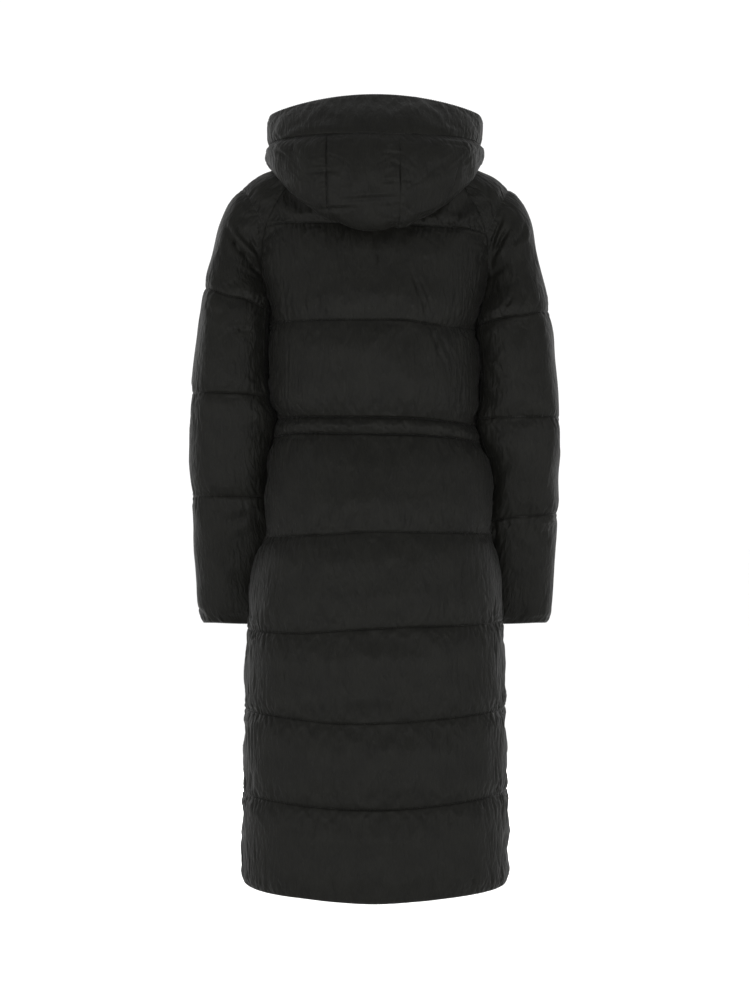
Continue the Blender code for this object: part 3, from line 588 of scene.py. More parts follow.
PUFF_FRAMES = 18
PUFF_CAP = 0.012            # a point of the filled cloth moves no further than this
PUFF_SOFTENING = 40         # passes that leave only the broad swelling, which is taken off
PUFF_SETTINGS = {
    "vertex_group_mass": "stitched", "quality": 4, "mass": 0.1,
    "tension_stiffness": 15, "compression_stiffness": 15, "shear_stiffness": 5,
    "bending_stiffness": 0.05, "use_pressure": True, "uniform_pressure_force": 4,
    "shrink_min": -0.05,
}


def puff_out(cloths, gain=1.0):
    """Blow the pieces up between their stitch lines, as the filling does, and keep the folds.

    Each piece is simulated as cloth a little larger than its place, with pressure from
    inside. The broad swelling is left out, because the crest has it already.
    """
    blown = []
    for cloth in cloths:
        start = cloth.outer()[::2, ::2]
        rows, columns = start.shape[:2]
        index = np.arange(rows * columns).reshape(rows, columns)
        quads = np.stack(
            [index[:-1, :-1], index[1:, :-1], index[1:, 1:], index[:-1, 1:]], -1).reshape(-1, 4)
        mesh = bpy.data.meshes.new(cloth.name + "_puff")
        mesh.from_pydata(start.reshape(-1, 3).tolist(), [], quads.tolist())
        sheet = add_object(cloth.name + "_puff", mesh)
        held = sheet.vertex_groups.new(name="stitched")
        fixed = {0, rows - 1} | {row // 2 for row in cloth.stitched}
        border = set(index[sorted(fixed)].ravel()) | set(index[:, [0, -1]].ravel())
        held.add([int(i) for i in border], 1.0, "REPLACE")
        modifier = sheet.modifiers.new("puff", "CLOTH")
        for name, value in PUFF_SETTINGS.items():
            setattr(modifier.settings, name, value)
        modifier.settings.effector_weights.gravity = 0
        modifier.collision_settings.use_collision = False
        modifier.point_cache.frame_end = PUFF_FRAMES + 2
        blown.append((cloth, sheet, start))
    for frame_number in range(1, PUFF_FRAMES + 1):
        bpy.context.scene.frame_set(frame_number)
    for cloth, sheet, start in blown:
        with bpy.context.temp_override(object=sheet, active_object=sheet):
            bpy.ops.object.modifier_apply(modifier="puff")
        moved = np.empty(len(sheet.data.vertices) * 3)
        sheet.data.vertices.foreach_get("co", moved)
        moved = moved.reshape(start.shape) - start
        lift = np.clip((moved * cloth.normal[::2, ::2]).sum(-1), -PUFF_CAP, PUFF_CAP)
        folds = (lift - soften(lift, PUFF_SOFTENING)) * gain
        cloth.raised += spread_out(folds) * (1 - cloth.seamed) ** 1.5
        mesh = sheet.data
        bpy.data.objects.remove(sheet)
        bpy.data.meshes.remove(mesh)
    bpy.context.scene.frame_set(1)


INNER_STEP = 4              # the plain inner face has one point for so many of the outer's


def seam_setback(grid, normal):
    """Half the seam's gap, from the border of a piece into the piece."""
    shift = np.zeros_like(grid)
    for axis in (0, 1):
        run = np.gradient(grid, axis=1 - axis)
        across = unit(np.cross(run, normal))
        for edge, inside in ((0, 1), (-1, -2)):
            here = (edge, slice(None)) if axis == 0 else (slice(None), edge)
            beside = (inside, slice(None)) if axis == 0 else (slice(None), inside)
            inward = ((grid[beside] - grid[here]) * across[here]).sum(-1, keepdims=True)
            shift[here] += across[here] * np.sign(inward) * SEAM_GAP / 2
    return shift


def wall(cloth, material):
    """The finished piece: its fine outer face, plain inner face and the edge between."""
    outer = cloth.outer()
    shift = seam_setback(outer, cloth.normal)
    inner = (cloth.inner() + shift)[::INNER_STEP, ::INNER_STEP]
    outer = outer + shift
    rows, columns = outer.shape[:2]
    fine = np.arange(rows * columns).reshape(rows, columns)
    plain = rows * columns + np.arange(inner.shape[0] * inner.shape[1]).reshape(inner.shape[:2])
    faces = []
    for grid, order in ((fine, 1), (plain, -1)):
        corners = [grid[:-1, :-1], grid[1:, :-1], grid[1:, 1:], grid[:-1, 1:]]
        faces += np.stack(corners[::order], -1).reshape(-1, 4).tolist()
    rim, hidden = (
        np.concatenate([grid[0, :-1], grid[:-1, -1], grid[-1, :0:-1], grid[:0:-1, 0]])
        for grid in (fine, plain))
    for k in range(len(rim)):
        here = k // INNER_STEP
        a, b = int(rim[k]), int(rim[(k + 1) % len(rim)])
        near, far = int(hidden[here]), int(hidden[(here + 1) % len(hidden)])
        if k % INNER_STEP < INNER_STEP // 2:
            faces.append((a, b, near))
            if k % INNER_STEP == INNER_STEP // 2 - 1:
                faces.append((b, far, near))
        else:
            faces.append((a, b, far))
    mesh = bpy.data.meshes.new(cloth.name)
    points = np.concatenate([outer.reshape(-1, 3), inner.reshape(-1, 3)])
    mesh.from_pydata(points.tolist(), [], faces)
    mesh.update()
    mesh.shade_smooth()
    mesh.set_sharp_from_angle(angle=math.radians(75))
    mesh.materials.append(material)
    lay_out(mesh, cloth)
    return add_object(cloth.name, mesh)


def lay_out(mesh, cloth):
    """The piece's flat pattern as a UV map in metres."""
    outer = np.stack([cloth.across, -cloth.down], -1)
    inner = outer[::INNER_STEP, ::INNER_STEP]
    flat = np.concatenate([outer.reshape(-1, 2), inner.reshape(-1, 2)])
    corners = np.empty(len(mesh.loops), dtype=np.int32)
    mesh.loops.foreach_get("vertex_index", corners)
    layer = mesh.uv_layers.new(name="pattern")
    layer.uv.foreach_set("vector", flat[corners].ravel())


def add_node(tree, kind, values=None, **settings):
    """A new node with its settings, then with the values of its inputs."""
    node = tree.nodes.new(kind)
    for name, value in settings.items():
        setattr(node, name, value)
    set_inputs(node, values or {})
    return node


def link_up(tree, *ways):
    """Links, each given as a node, its output, the next node and that one's input."""
    for source, output, target, entry in ways:
        tree.links.new(source.outputs[output], target.inputs[entry])


def shell_cloth():
    """Fine plain-weave nylon, near black and a little warm, matt with a soft sheen."""
    made, tree, shader = new_material("shell_cloth", {
        "Roughness": 0.55, "Specular IOR Level": 0.075,
        "Sheen Weight": 0.012, "Sheen Roughness": 0.4})
    place = add_node(tree, "ShaderNodeUVMap", uv_map="pattern")
    cloud = add_node(tree, "ShaderNodeTexNoise", {"Scale": 30.0, "Detail": 6.0})
    tone = add_node(tree, "ShaderNodeMix", {
        "A": (0.0019, 0.0019, 0.0016, 1), "B": (0.0050, 0.0050, 0.0041, 1)}, data_type="RGBA")
    # crinkle: the thin shell never lies quite flat on its filling
    stretched = add_node(tree, "ShaderNodeMapping", {"Scale": (170.0, 60.0, 1.0)})
    crinkle = add_node(tree, "ShaderNodeTexNoise", {"Scale": 1.0, "Detail": 3.0, "Distortion": 0.5})
    crinkled = add_node(tree, "ShaderNodeBump", {"Strength": 0.8, "Distance": 0.0032})
    # weave: a faint grid of ribs both ways, about two millimetres apart
    ribs = {"Scale": 150.0, "Distortion": 0.0}
    warp = add_node(tree, "ShaderNodeTexWave", ribs, bands_direction="X")
    weft = add_node(tree, "ShaderNodeTexWave", ribs, bands_direction="Y")
    crossing = add_node(tree, "ShaderNodeMath", operation="MULTIPLY")
    woven = add_node(tree, "ShaderNodeBump", {"Strength": 0.15, "Distance": 0.00005})
    link_up(
        tree, (place, "UV", cloud, "Vector"), (cloud, "Fac", tone, "Factor"),
        (tone, "Result", shader, "Base Color"), (place, "UV", stretched, "Vector"),
        (stretched, "Vector", crinkle, "Vector"), (crinkle, "Fac", crinkled, "Height"),
        (place, "UV", warp, "Vector"), (place, "UV", weft, "Vector"), (warp, "Fac", crossing, 0),
        (weft, "Fac", crossing, 1), (crossing, "Value", woven, "Height"),
        (crinkled, "Normal", woven, "Normal"), (woven, "Normal", shader, "Normal"))
    return made


shell = shell_cloth()

# What each piece was cut to: width and length in metres and, as no cut is a rectangle,
# its area. It is worked back from the finished piece, with 4% added each way for what
# quilting and seams are assumed to take up.
Cut = namedtuple("Cut", "width length area")


def dress(cloth, node):
    """Finish a cloth piece in shell cloth, hang it on the coat's body and hide the part it
    replaces.
    """
    piece = wall(cloth, shell)
    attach(piece, "coat")
    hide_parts(node)
    return piece


stitch_lines = []           # where the thread shows: a line of points for each row of stitches


def mark_stitches(cloth, rows):
    outer = cloth.outer()
    for row in rows:
        stitch_lines.append((outer[row], cloth.normal[row]))


def quilt_depth(across):
    """How deep a quilt line lies; across is 0 in the middle of the back or front, 1 at its end."""
    return mix(GROOVE, GROOVE_SIDE, np.abs(across) ** SIDE_POWER)


def quilt_across(cloth, part, marks, depths):
    """Stitch a body piece down along its quilt lines."""
    for name, row in marks.items():
        level = level_directions(cloth, row) if name.startswith("casing") else None
        cloth.quilt(row, depths, CASING_PILLOW if part == "casing" else PILLOW, level)


def join_side(cloth, part, column):
    """Sew a body piece on along its side seam and, on the bodice, its raglan seam."""
    edge = cloth.crest[:, column]
    depth = np.where(edge[:, 2] > UNDERARM, raglan_depth(edge[:, 2]), SEAM_SINK)
    cloth.join(column, depth[:, None], SEAM_PILLOW,
               raglan_directions(edge) if part == "bodice" else None)


def gather_across(cloth, part, marks, sides, strength, seeds):
    """Puckers along a body piece's quilt lines, stronger where sides is near 1.

    seeds are for the lines of the casing, for those beside it and for all others.
    """
    for name, row in marks.items():
        if part == "casing":
            gather(cloth, row, (0.9 + 0.3 * sides) * strength, seeds[0] + row, 0.008, 0.0014)
        elif name.startswith("casing"):
            gather(cloth, row, (0.8 + 0.6 * sides) * strength, seeds[1] + row, 0.009)
        else:
            gather(cloth, row, (0.5 + 0.9 * sides) * strength, seeds[2] + row)


BACK_CREASES = (
    # the long double drag from under the hood down to the right side of the waist
    Crease([(-0.053, -0.182), (-0.062, -0.208), (-0.074, -0.237), (-0.080, -0.258)],
           0.0033, 0.0024, 0.0019),
    Crease([(-0.081, -0.268), (-0.087, -0.281), (-0.096, -0.309), (-0.111, -0.338)],
           0.0030, 0.0024, 0.0019),
    Crease([(-0.066, -0.196), (-0.079, -0.226), (-0.090, -0.252)], 0.0018, 0.0024, 0.0010),
    Crease([(-0.093, -0.270), (-0.104, -0.294), (-0.121, -0.330)], 0.0021, 0.0026, 0.0012),
    Crease([(-0.114, -0.301), (-0.126, -0.326)], 0.0018, 0.0021, 0.0010),
    Crease([(-0.137, -0.277), (-0.148, -0.289)], 0.0015, 0.0019, 0.0007),
    Crease([(0.129, -0.242), (0.128, -0.262)], 0.0012, 0.0016, 0.0006),
)
BACK_PIECES = (
    ("bodice", "neck", "casing_top", FILLED, Cut(0.507, 0.517, 0.197)),
    ("casing", "casing_top", "casing_bottom", CASING_FILLED, Cut(0.481, 0.031, 0.0149)),
    ("skirt", "casing_bottom", "hem", FILLED, Cut(0.617, 0.748, 0.437)),
)
back_shares = np.linspace(1, -1, BACK_COLUMNS + 1)
backs = {}
for part, first, last, filled, cut in BACK_PIECES:
    rows, marks = panel_rows(first, last)
    cloth = Cloth(f"back_{part}_cloth", back_crest(rows), filled)
    quilt_across(cloth, part, marks, quilt_depth(back_shares))
    for column in (0, -1):
        join_side(cloth, part, column)
    backs[part] = (cloth, marks, cut)
puff_out([entry[0] for entry in backs.values()])
sides = np.abs(back_shares) ** 1.5
for number, (part, (cloth, marks, cut)) in enumerate(backs.items()):
    gather_across(cloth, part, marks, sides, 1, (40, 50, 60 + number))
    ripple(cloth, 3 + number, 0.080, 0.0020)
    ripple(cloth, 13 + number, 0.030, 0.0012, 2.5)
    if part == "bodice":
        drag(cloth, 5, 420, 0.0012)
        lay_creases(cloth, BACK_CREASES)
    if part == "skirt":
        drag(cloth, 6, 460, 0.0015, (0.03, 0.09))
    mark_stitches(cloth, marks.values())
    dress(cloth, "back_" + part)


# ---------------------------------------------------------------- front panels
# The fronts repeat the back's three pieces on each side of the zip. Their quilt lines meet
# the back's at the side seams; their edges are turned in and sewn to the zip's tapes.
FRONT_EDGE = 0.0065         # half the distance between the two edges
EDGE_GROOVE = 0.004         # how deep the cloth lies along them
EDGE_PILLOW = 0.020
FRONT_COLUMNS = 120
ROW_BOW = 1.6               # exponent of a row's rise or drop towards its side seam
SWAY = 0.0026               # how far a front quilt line wanders up and down
EDGE_NECK = 0.015           # the way below the neck in which the zip's edge sinks in


def front_heights(line, side, across):
    """The heights of a front line; across is 0 at the zip and 1 at the side seam."""
    end = getattr(line, "front_" + side)
    phase = 0.37 * NAMES.index(line.name) + (0.2 if side == "left" else 0.65)
    sway = SWAY * np.sin(2 * math.pi * (1.2 * across + phase)) * 4 * across * (1 - across)
    return mix(line.front, end, across ** ROW_BOW) / 1000 + sway * (line.name != "neck")


def front_crest(rows, side):
    """A front on the crest of its filling, its columns in the direction of +X."""
    shares = np.linspace(0, 1, FRONT_COLUMNS + 1)
    crest = np.zeros((len(rows), len(shares), 3))
    for r, row in enumerate(rows):
        end = side_point(front_end(row, side), side, "front")
        depth = follow(BODY, "z", "front", mix(row.upper.front, row.lower.front, row.share) / 1000)
        x, y = round_row(end, depth, shares, FRONT_EDGE)
        across = x / abs(end[0])
        z = mix(*(front_heights(line, side, across) for line in row[:2]), row.share)
        crest[r] = np.stack([np.copysign(x, end[0]), -y, z], axis=1)
    if rows[0].upper.name == "neck":
        end = side_point(LINES[0].front_left / 1000, side, "front")
        limit = math.atan2(abs(end[0]) / NECK_HALF_WIDTH, -end[1] / NECK_FRONT)
        turns = math.pi - mix(math.asin(FRONT_EDGE / NECK_HALF_WIDTH), limit, shares)
        ease_neck(crest, rows, np.array([neck_point(SIDES[side] * turn) for turn in turns]))
    return crest if side == "left" else crest[:, ::-1]


FRONT_CREASES = (
    Crease([(0.112, -0.172), (0.096, -0.200), (0.084, -0.236)], 0.0024, 0.0024, 0.0014),
    Crease([(0.090, -0.160), (0.074, -0.196), (0.066, -0.222)], 0.0018, 0.0022, 0.0010),
    Crease([(-0.118, -0.168), (-0.098, -0.206), (-0.090, -0.246)], 0.0027, 0.0024, 0.0014),
    Crease([(-0.128, -0.300), (-0.110, -0.330), (-0.101, -0.366)], 0.0021, 0.0022, 0.0012),
    Crease([(0.131, -0.310), (0.116, -0.342)], 0.0018, 0.0021, 0.0010),
    Crease([(0.118, -0.480), (0.098, -0.512), (0.088, -0.548)], 0.0018, 0.0024, 0.0012),
    Crease([(-0.106, -0.468), (-0.098, -0.500)], 0.0015, 0.0021, 0.0010),
)
FRONT_PIECES = (
    ("bodice", "neck", "casing_top", FILLED, Cut(0.244, 0.471, 0.083)),
    ("casing", "casing_top", "casing_bottom", CASING_FILLED, Cut(0.233, 0.034, 0.0079)),
    ("skirt", "casing_bottom", "hem", FILLED, Cut(0.296, 0.744, 0.211)),
)
fronts = {}
for side in SIDES:
    zip_column, seam_column = (0, -1) if side == "left" else (-1, 0)
    shares = np.linspace(0, 1, FRONT_COLUMNS + 1)
    shares = shares if side == "left" else shares[::-1]
    for part, first, last, filled, cut in FRONT_PIECES:
        rows, marks = panel_rows(first, last)
        cloth = Cloth(f"front_{part}_{side}_cloth", front_crest(rows, side), filled, zip_column)
        from_zip = np.abs(cloth.across[0] - cloth.across[0, zip_column])
        risen = np.clip(from_zip / EDGE_PILLOW, 0, 1)
        depths = mix(EDGE_GROOVE, quilt_depth(shares), risen * risen * (3 - 2 * risen))
        quilt_across(cloth, part, marks, depths)
        join_side(cloth, part, seam_column)
        edge = cloth.crest[:, zip_column, 2]
        sunk = np.ones(len(edge))
        if part == "bodice":
            sunk = np.clip((edge[0] - edge) / EDGE_NECK, 0, 1)
        forward = unit(cloth.normal[:, zip_column] * (0, 1, 1))
        cloth.join(zip_column, EDGE_GROOVE * sunk[:, None], EDGE_PILLOW, forward)
        fronts[part, side] = (cloth, marks, risen, shares, cut)
puff_out([entry[0] for entry in fronts.values()])
for number, ((part, side), (cloth, marks, risen, shares, cut)) in enumerate(fronts.items()):
    seeds = (140 + number, 150 + number, 160 + number)
    gather_across(cloth, part, marks, shares ** 1.5, risen, seeds)
    ripple(cloth, 31 + number, 0.080, 0.0030)
    ripple(cloth, 41 + number, 0.030, 0.0012, 2.5)
    if part == "bodice":
        drag(cloth, 25 + number, 190, 0.0016)
    if part == "skirt":
        drag(cloth, 35 + number, 200, 0.0015, (0.03, 0.09))
    if part != "casing":
        lay_creases(cloth, FRONT_CREASES, -1)
    cloth.raised[:, 0 if side == "left" else -1] = 0
    mark_stitches(cloth, marks.values())
    dress(cloth, f"front_{part}_{side}")


# ---------------------------------------------------------------- sleeves
# A raglan sleeve is cut in two: the top sleeve runs from the neck over the shoulder to the
# cuff, and the narrow under sleeve from the armhole down the inside of the arm. Both are
# quilted round the arm. The cuff is a plain turned edge, drawn in a little by its elastic.
Cap = namedtuple("Cap", "at x y z fullness")
# The top line of the left sleeve; at is 0 on the neck seam and 1 on the yoke line.
CAP = (
    Cap(0.0, 0.0920, 0.0000, 0.0000, 0.000),
    Cap(0.2, 0.1160, 0.0000, -0.0050, 0.002),
    Cap(0.5, 0.1520, 0.0000, -0.0165, 0.005),
    Cap(0.8, 0.1880, 0.0000, -0.0295, 0.009),
    Cap(1.0, 0.2120, -0.0020, -0.0445, 0.013),
    Cap(1.2, 0.2340, -0.0040, -0.0650, 0.021),
    Cap(1.4, 0.2490, -0.0060, -0.0970, 0.034),
    Cap(1.6, 0.2600, -0.0100, -0.1450, 0.046),
)
CAP_ROWS = 68               # modelled rows of the shoulder, level with the body's
Arm = namedtuple("Arm", "z outer inner middle depth")
# Level sections of the hanging sleeve: outer and inner side, middle and half depth.
SLEEVE = (
    Arm(-0.190, 0.2690, 0.1860, -0.006, 0.076),
    Arm(-0.235, 0.2765, 0.1790, -0.008, 0.080),
    Arm(-0.300, 0.2860, 0.1760, -0.012, 0.083),
    Arm(-0.369, 0.2930, 0.1750, -0.018, 0.083),
    Arm(-0.450, 0.2975, 0.1810, -0.030, 0.080),
    Arm(-0.485, 0.2970, 0.1860, -0.037, 0.078),
    Arm(-0.530, 0.2962, 0.1880, -0.047, 0.075),
    Arm(-0.600, 0.2948, 0.1860, -0.067, 0.070),
    Arm(-0.670, 0.2930, 0.1900, -0.087, 0.064),
    Arm(-0.725, 0.2898, 0.1930, -0.098, 0.058),
    Arm(-0.747, 0.2830, 0.1990, -0.101, 0.051),
)
SleeveLine = namedtuple("SleeveLine", "outer inner")
# The quilt lines round each arm, as heights on its outer and its inner side.
SLEEVE_LINES = {
    "left": (
        SleeveLine(-0.203, -0.241),
        SleeveLine(-0.369, -0.376),
        SleeveLine(-0.534, -0.536),
        SleeveLine(-0.742, -0.747),
    ),
    "right": (
        SleeveLine(-0.240, -0.264),
        SleeveLine(-0.408, -0.412),
        SleeveLine(-0.561, -0.576),
        SleeveLine(-0.742, -0.747),
    ),
}
SEAM_ANGLE = math.radians(150)      # where the lengthwise seams run, from the outer side
TOP_COLUMNS = 156
UNDER_COLUMNS = 44
ARMHOLE_ROWS = 28                   # from the armhole to the first line
SLEEVE_ROWS = 52                    # between two lines
SLEEVE_FILLED = 0.012
UNDER_FILLED = 0.010
SLEEVE_GROOVE = 0.0065
CAP_GROOVE = 0.005
SLEEVE_SIDE_POWER = 3
ARM_ROUNDNESS = 2.8
ARM_PRESSED = 0.0028         # how far the filled arm gives where it lies against the body


def beside_body(z, side):
    """How far out the body's side stands at heights, level with the middle of the arm."""
    toward = np.abs(follow(SLEEVE, "z", "middle", z) / follow(BODY, "z", "front", z))
    return follow(BODY, "z", side, z) * (1 - toward ** ROUNDNESS) ** (1 / ROUNDNESS)


def arm_ring(line, turns, side):
    """A ring round the arm; the turn is 0 on the outer side, 90 degrees behind."""
    z = mix(line.inner, line.outer, (1 + np.cos(turns)) / 2)
    outer = follow(SLEEVE, "z", "outer", z)
    inner = np.minimum(follow(SLEEVE, "z", "inner", z), beside_body(z, side) - ARM_PRESSED)
    across, behind = (
        np.copysign(np.abs(value) ** (2 / ARM_ROUNDNESS), value)
        for value in (np.cos(turns), np.sin(turns)))
    x = (outer + inner) / 2 + (outer - inner) / 2 * across
    y = follow(SLEEVE, "z", "middle", z) + follow(SLEEVE, "z", "depth", z) * behind
    return np.stack([SIDES[side] * x, y, z], axis=1)


def cap_row(row, side):
    """A row over the shoulder, from the front raglan seam to the back one."""
    at = row.share + (row.upper.name == "yoke")
    back = side_point(back_heights(row)[-1 if side == "left" else 0], side, "back")
    front = side_point(front_end(row, side), side, "front")
    top = np.array([follow(CAP, "at", column, at) for column in "xyz"]) * (SIDES[side], 1, 1)
    angles = np.linspace(0, math.pi, TOP_COLUMNS + 1)[:, None]
    line = (back + front) / 2 - (back - front) / 2 * np.cos(angles)
    line = line + (top - (back + front) / 2) * np.sin(angles)
    line[:, 1] += follow(CAP, "at", "fullness", at) * np.sin(2 * (math.pi - angles[:, 0]))
    return line


def neck_arc(side):
    """The sleeve's edge at the neck seam, from the front raglan seam to the back one."""
    back = math.atan2(BACK_RAGLAN[0].x / NECK_HALF_WIDTH, BACK_RAGLAN[0].y / NECK_BACK)
    front = math.pi - math.atan2(
        FRONT_RAGLAN[0].x / NECK_HALF_WIDTH, -FRONT_RAGLAN[0].y / NECK_FRONT)
    turns = np.linspace(front, back, TOP_COLUMNS + 1)
    return np.array([neck_point(SIDES[side] * turn) for turn in turns])


def arm_rows(side, turns):
    """The rings below the armhole and the places of the quilt lines among them."""
    rings = []
    marks = []
    lines = SLEEVE_LINES[side]
    for upper, lower in zip(lines, lines[1:]):
        marks.append(len(rings))
        for t in bunched(SLEEVE_ROWS)[:-1]:
            ring = SleeveLine(mix(upper.outer, lower.outer, t), mix(upper.inner, lower.inner, t))
            rings.append(arm_ring(ring, turns, side))
    marks.append(len(rings))
    rings.append(arm_ring(lines[-1], turns, side))
    return rings, marks


def armhole_rows(start, leaving, rings):
    """The rows between the armhole and the first ring, leaving the armhole in directions."""
    span = rings[0] - start
    length = np.linalg.norm(span, axis=1, keepdims=True)
    arriving = unit(rings[1] - rings[0]) * length
    leaving = span if leaving is None else leaving * length
    rows = []
    for t in bunched(ARMHOLE_ROWS, above=False)[1:-1]:
        rows.append(
            start * (1 + 2 * t) * (1 - t) ** 2 + rings[0] * t * t * (3 - 2 * t)
            + leaving * t * (1 - t) ** 2 - arriving * t * t * (1 - t))
    return rows


def armhole(side, height_back, height_front):
    """The armhole under the arm, from the back lengthwise seam to the front one."""
    half = UNDER_COLUMNS // 2
    behind = [side_point(z, side, "back") for z in np.linspace(height_back, UNDERARM, half + 1)]
    before = [side_point(z, side, "front") for z in np.linspace(UNDERARM, height_front, half + 1)]
    return np.array(behind + before[1:])


def quilt_round(cloth, rows, turns):
    """Stitch a sleeve piece down along its rings, deepest behind and in front."""
    depths = mix(SLEEVE_GROOVE, GROOVE_SIDE, np.abs(np.cos(turns)) ** SLEEVE_SIDE_POWER)
    for row in rows:
        cloth.quilt(row, depths, PILLOW)


SLEEVE_CREASES = (
    # left: the deep fold from the shoulder into the underarm, and what gathers beside it
    Crease([(0.237, -0.108), (0.225, -0.131), (0.209, -0.150), (0.192, -0.167), (0.182, -0.186)],
           0.0075, 0.0044, 0.0042),
    Crease([(0.197, -0.123), (0.184, -0.155)], 0.0030, 0.0026, 0.0014),
    Crease([(0.181, -0.108), (0.179, -0.133)], 0.0024, 0.0024, 0.0010),
    Crease([(0.237, -0.282), (0.214, -0.274), (0.186, -0.275)], 0.0036, 0.0027, 0.0019),
    Crease([(0.196, -0.441), (0.178, -0.440)], 0.0030, 0.0022, 0.0012),
    # right: two folds into the underarm, a bright bump above them
    Crease([(-0.201, -0.093), (-0.187, -0.128), (-0.180, -0.162)], 0.0051, 0.0032, 0.0026),
    Crease([(-0.213, -0.111), (-0.198, -0.133), (-0.180, -0.173)], 0.0063, 0.0038, 0.0036),
    Crease([(-0.236, -0.106), (-0.231, -0.128), (-0.212, -0.141)], 0.0045, 0.0032, 0.0026),
    Crease([(-0.201, -0.241), (-0.203, -0.278)], 0.0021, 0.0018, 0.0010),
    Crease([(-0.215, -0.220), (-0.201, -0.246)], 0.0027, 0.0024, 0.0014),
    Crease([(-0.190, -0.319), (-0.178, -0.319)], 0.0024, 0.0021, 0.0012),
)
TOP_CUT = Cut(0.429, 0.896, 0.277)
UNDER_CUT = Cut(0.129, 0.607, 0.0564)
sleeves = {}
body_rows = panel_rows("neck", "underarm")[0]
yoke = [row.upper.name for row in body_rows].index("yoke")
for side in SIDES:
    run = slice(None, None, 1 if side == "left" else -1)    # columns run in the direction of +X
    cap = np.array([cap_row(row, side) for row in body_rows[:CAP_ROWS + 1]])
    ease_neck(cap, body_rows[:CAP_ROWS + 1], neck_arc(side))
    turns = np.linspace(-SEAM_ANGLE, SEAM_ANGLE, TOP_COLUMNS + 1)
    rings, marks = arm_rows(side, turns)
    over = np.sin(np.linspace(0, math.pi, TOP_COLUMNS + 1))[:, None]
    leaving = unit(mix(unit(rings[0] - cap[-1]), unit(cap[-1] - cap[-2]), over))
    crest = np.concatenate([cap, armhole_rows(cap[-1], leaving, rings), rings])
    cloth = Cloth(f"sleeve_top_{side}_cloth", crest[:, run], SLEEVE_FILLED)
    shoulder = np.sin(np.linspace(0, 2 * math.pi, TOP_COLUMNS + 1)) ** 2
    cloth.quilt(yoke, mix(GROOVE_SIDE, CAP_GROOVE, shoulder), PILLOW)
    rows = [len(crest) - len(rings) + mark for mark in marks]
    quilt_round(cloth, rows, turns[run])
    for column in (0, -1):
        edge = cloth.crest[:, column]
        below = np.clip((np.arange(len(edge)) - CAP_ROWS) / ARMHOLE_ROWS, 0, 1)
        depth = np.where(below > 0, SEAM_SINK * below, raglan_depth(edge[:, 2]))
        way = np.where(below[:, None] > 0, cloth.normal[:, column], raglan_directions(edge))
        cloth.join(column, depth[:, None], SEAM_PILLOW, way)
    sleeves["top", side] = (cloth, [yoke] + rows, TOP_CUT)

    turns = np.linspace(SEAM_ANGLE, 2 * math.pi - SEAM_ANGLE, UNDER_COLUMNS + 1)
    rings, marks = arm_rows(side, turns)
    start = armhole(side, cap[-1][-1, 2], cap[-1][0, 2])
    crest = np.concatenate([start[None], armhole_rows(start, None, rings), rings])
    cloth = Cloth(f"sleeve_under_{side}_cloth", crest[:, run], UNDER_FILLED)
    rows = [len(crest) - len(rings) + mark for mark in marks]
    quilt_round(cloth, rows, turns[run])
    below = np.clip(np.arange(len(crest)) / ARMHOLE_ROWS, 0, 1)
    for column in (0, -1):
        cloth.join(column, SEAM_SINK * below[:, None], SEAM_PILLOW)
    sleeves["under", side] = (cloth, rows, UNDER_CUT)
puff_out([entry[0] for (part, side), entry in sleeves.items() if part == "top"], 0.6)
for number, ((part, side), (cloth, marks, cut)) in enumerate(sleeves.items()):
    for row in marks:
        columns = np.linspace(-1, 1, cloth.crest.shape[1])
        power = 0.7 + 0.4 * np.abs(columns)
        if row == marks[-1]:
            gather(cloth, row, power, 240 + number, 0.008, 0.0018, (-1,))
        else:
            gather(cloth, row, power, 250 + row + number)
    ripple(cloth, 51 + number, 0.070, 0.0035)
    ripple(cloth, 61 + number, 0.028, 0.0014, 2.0)
    drag(cloth, 45 + number, 240 if part == "top" else 60, 0.0007, (0.04, 0.10))
    lay_creases(cloth, SLEEVE_CREASES)
    mark_stitches(cloth, marks)
    dress(cloth, f"sleeve_{part}_{side}")


# ---------------------------------------------------------------- hood
# The hood hangs down behind, open above. Its brim is a padded band round the face edge; a
# centre panel and two side panels fall from the brim seam, fold under at the bottom and
# come up inside to the neck seam.
Ring = namedtuple("Ring", "name half_width widest back front plan z_back z_side z_front drop rows")
# Rings from the face edge to the neck: half width, how far behind the neck side they are
# widest, depth behind and before, how square their plan is (1 is an ellipse), their height
# behind, at the sides and in front, with the power by which it changes on the way round,
# and the rows modelled below them: in all a multiple of four above the brim seam and below.
HOOD = (
    Ring("rim", 0.1690, 0.020, 0.110, 0.127, 0.90, 0.0865, 0.068, 0.020, 2.50, 18),
    Ring("brim_middle", 0.1710, 0.026, 0.143, 0.126, 0.85, 0.052, 0.043, 0.001, 2.00, 18),
    Ring("brim_seam", 0.1685, 0.030, 0.166, 0.120, 0.80, 0.014, 0.017, -0.014, 1.35, 14),
    Ring("outer_high", 0.1710, 0.034, 0.178, 0.119, 0.75, -0.012, 0.008, -0.020, 1.35, 36),
    Ring("outer_low", 0.1710, 0.038, 0.173, 0.115, 0.75, -0.075, -0.002, -0.029, 1.35, 26),
    Ring("fold_outer", 0.1670, 0.040, 0.150, 0.112, 0.75, -0.117, -0.009, -0.036, 1.35, 12),
    Ring("fold", 0.1540, 0.038, 0.131, 0.109, 0.75, -0.129, -0.008, -0.043, 1.35, 12),
    Ring("leg_low", 0.1430, 0.032, 0.122, 0.106, 0.75, -0.105, 0.002, -0.050, 1.35, 24),
    Ring("leg_high", 0.1220, 0.018, 0.114, 0.102, 0.80, 0.004, 0.014, -0.057, 1.35, 12),
    Ring("roll", 0.1040, 0.006, 0.099, 0.097, 0.95, 0.038, 0.018, -0.063, 1.35, 12),
)
HOOD_FILLED = 0.012
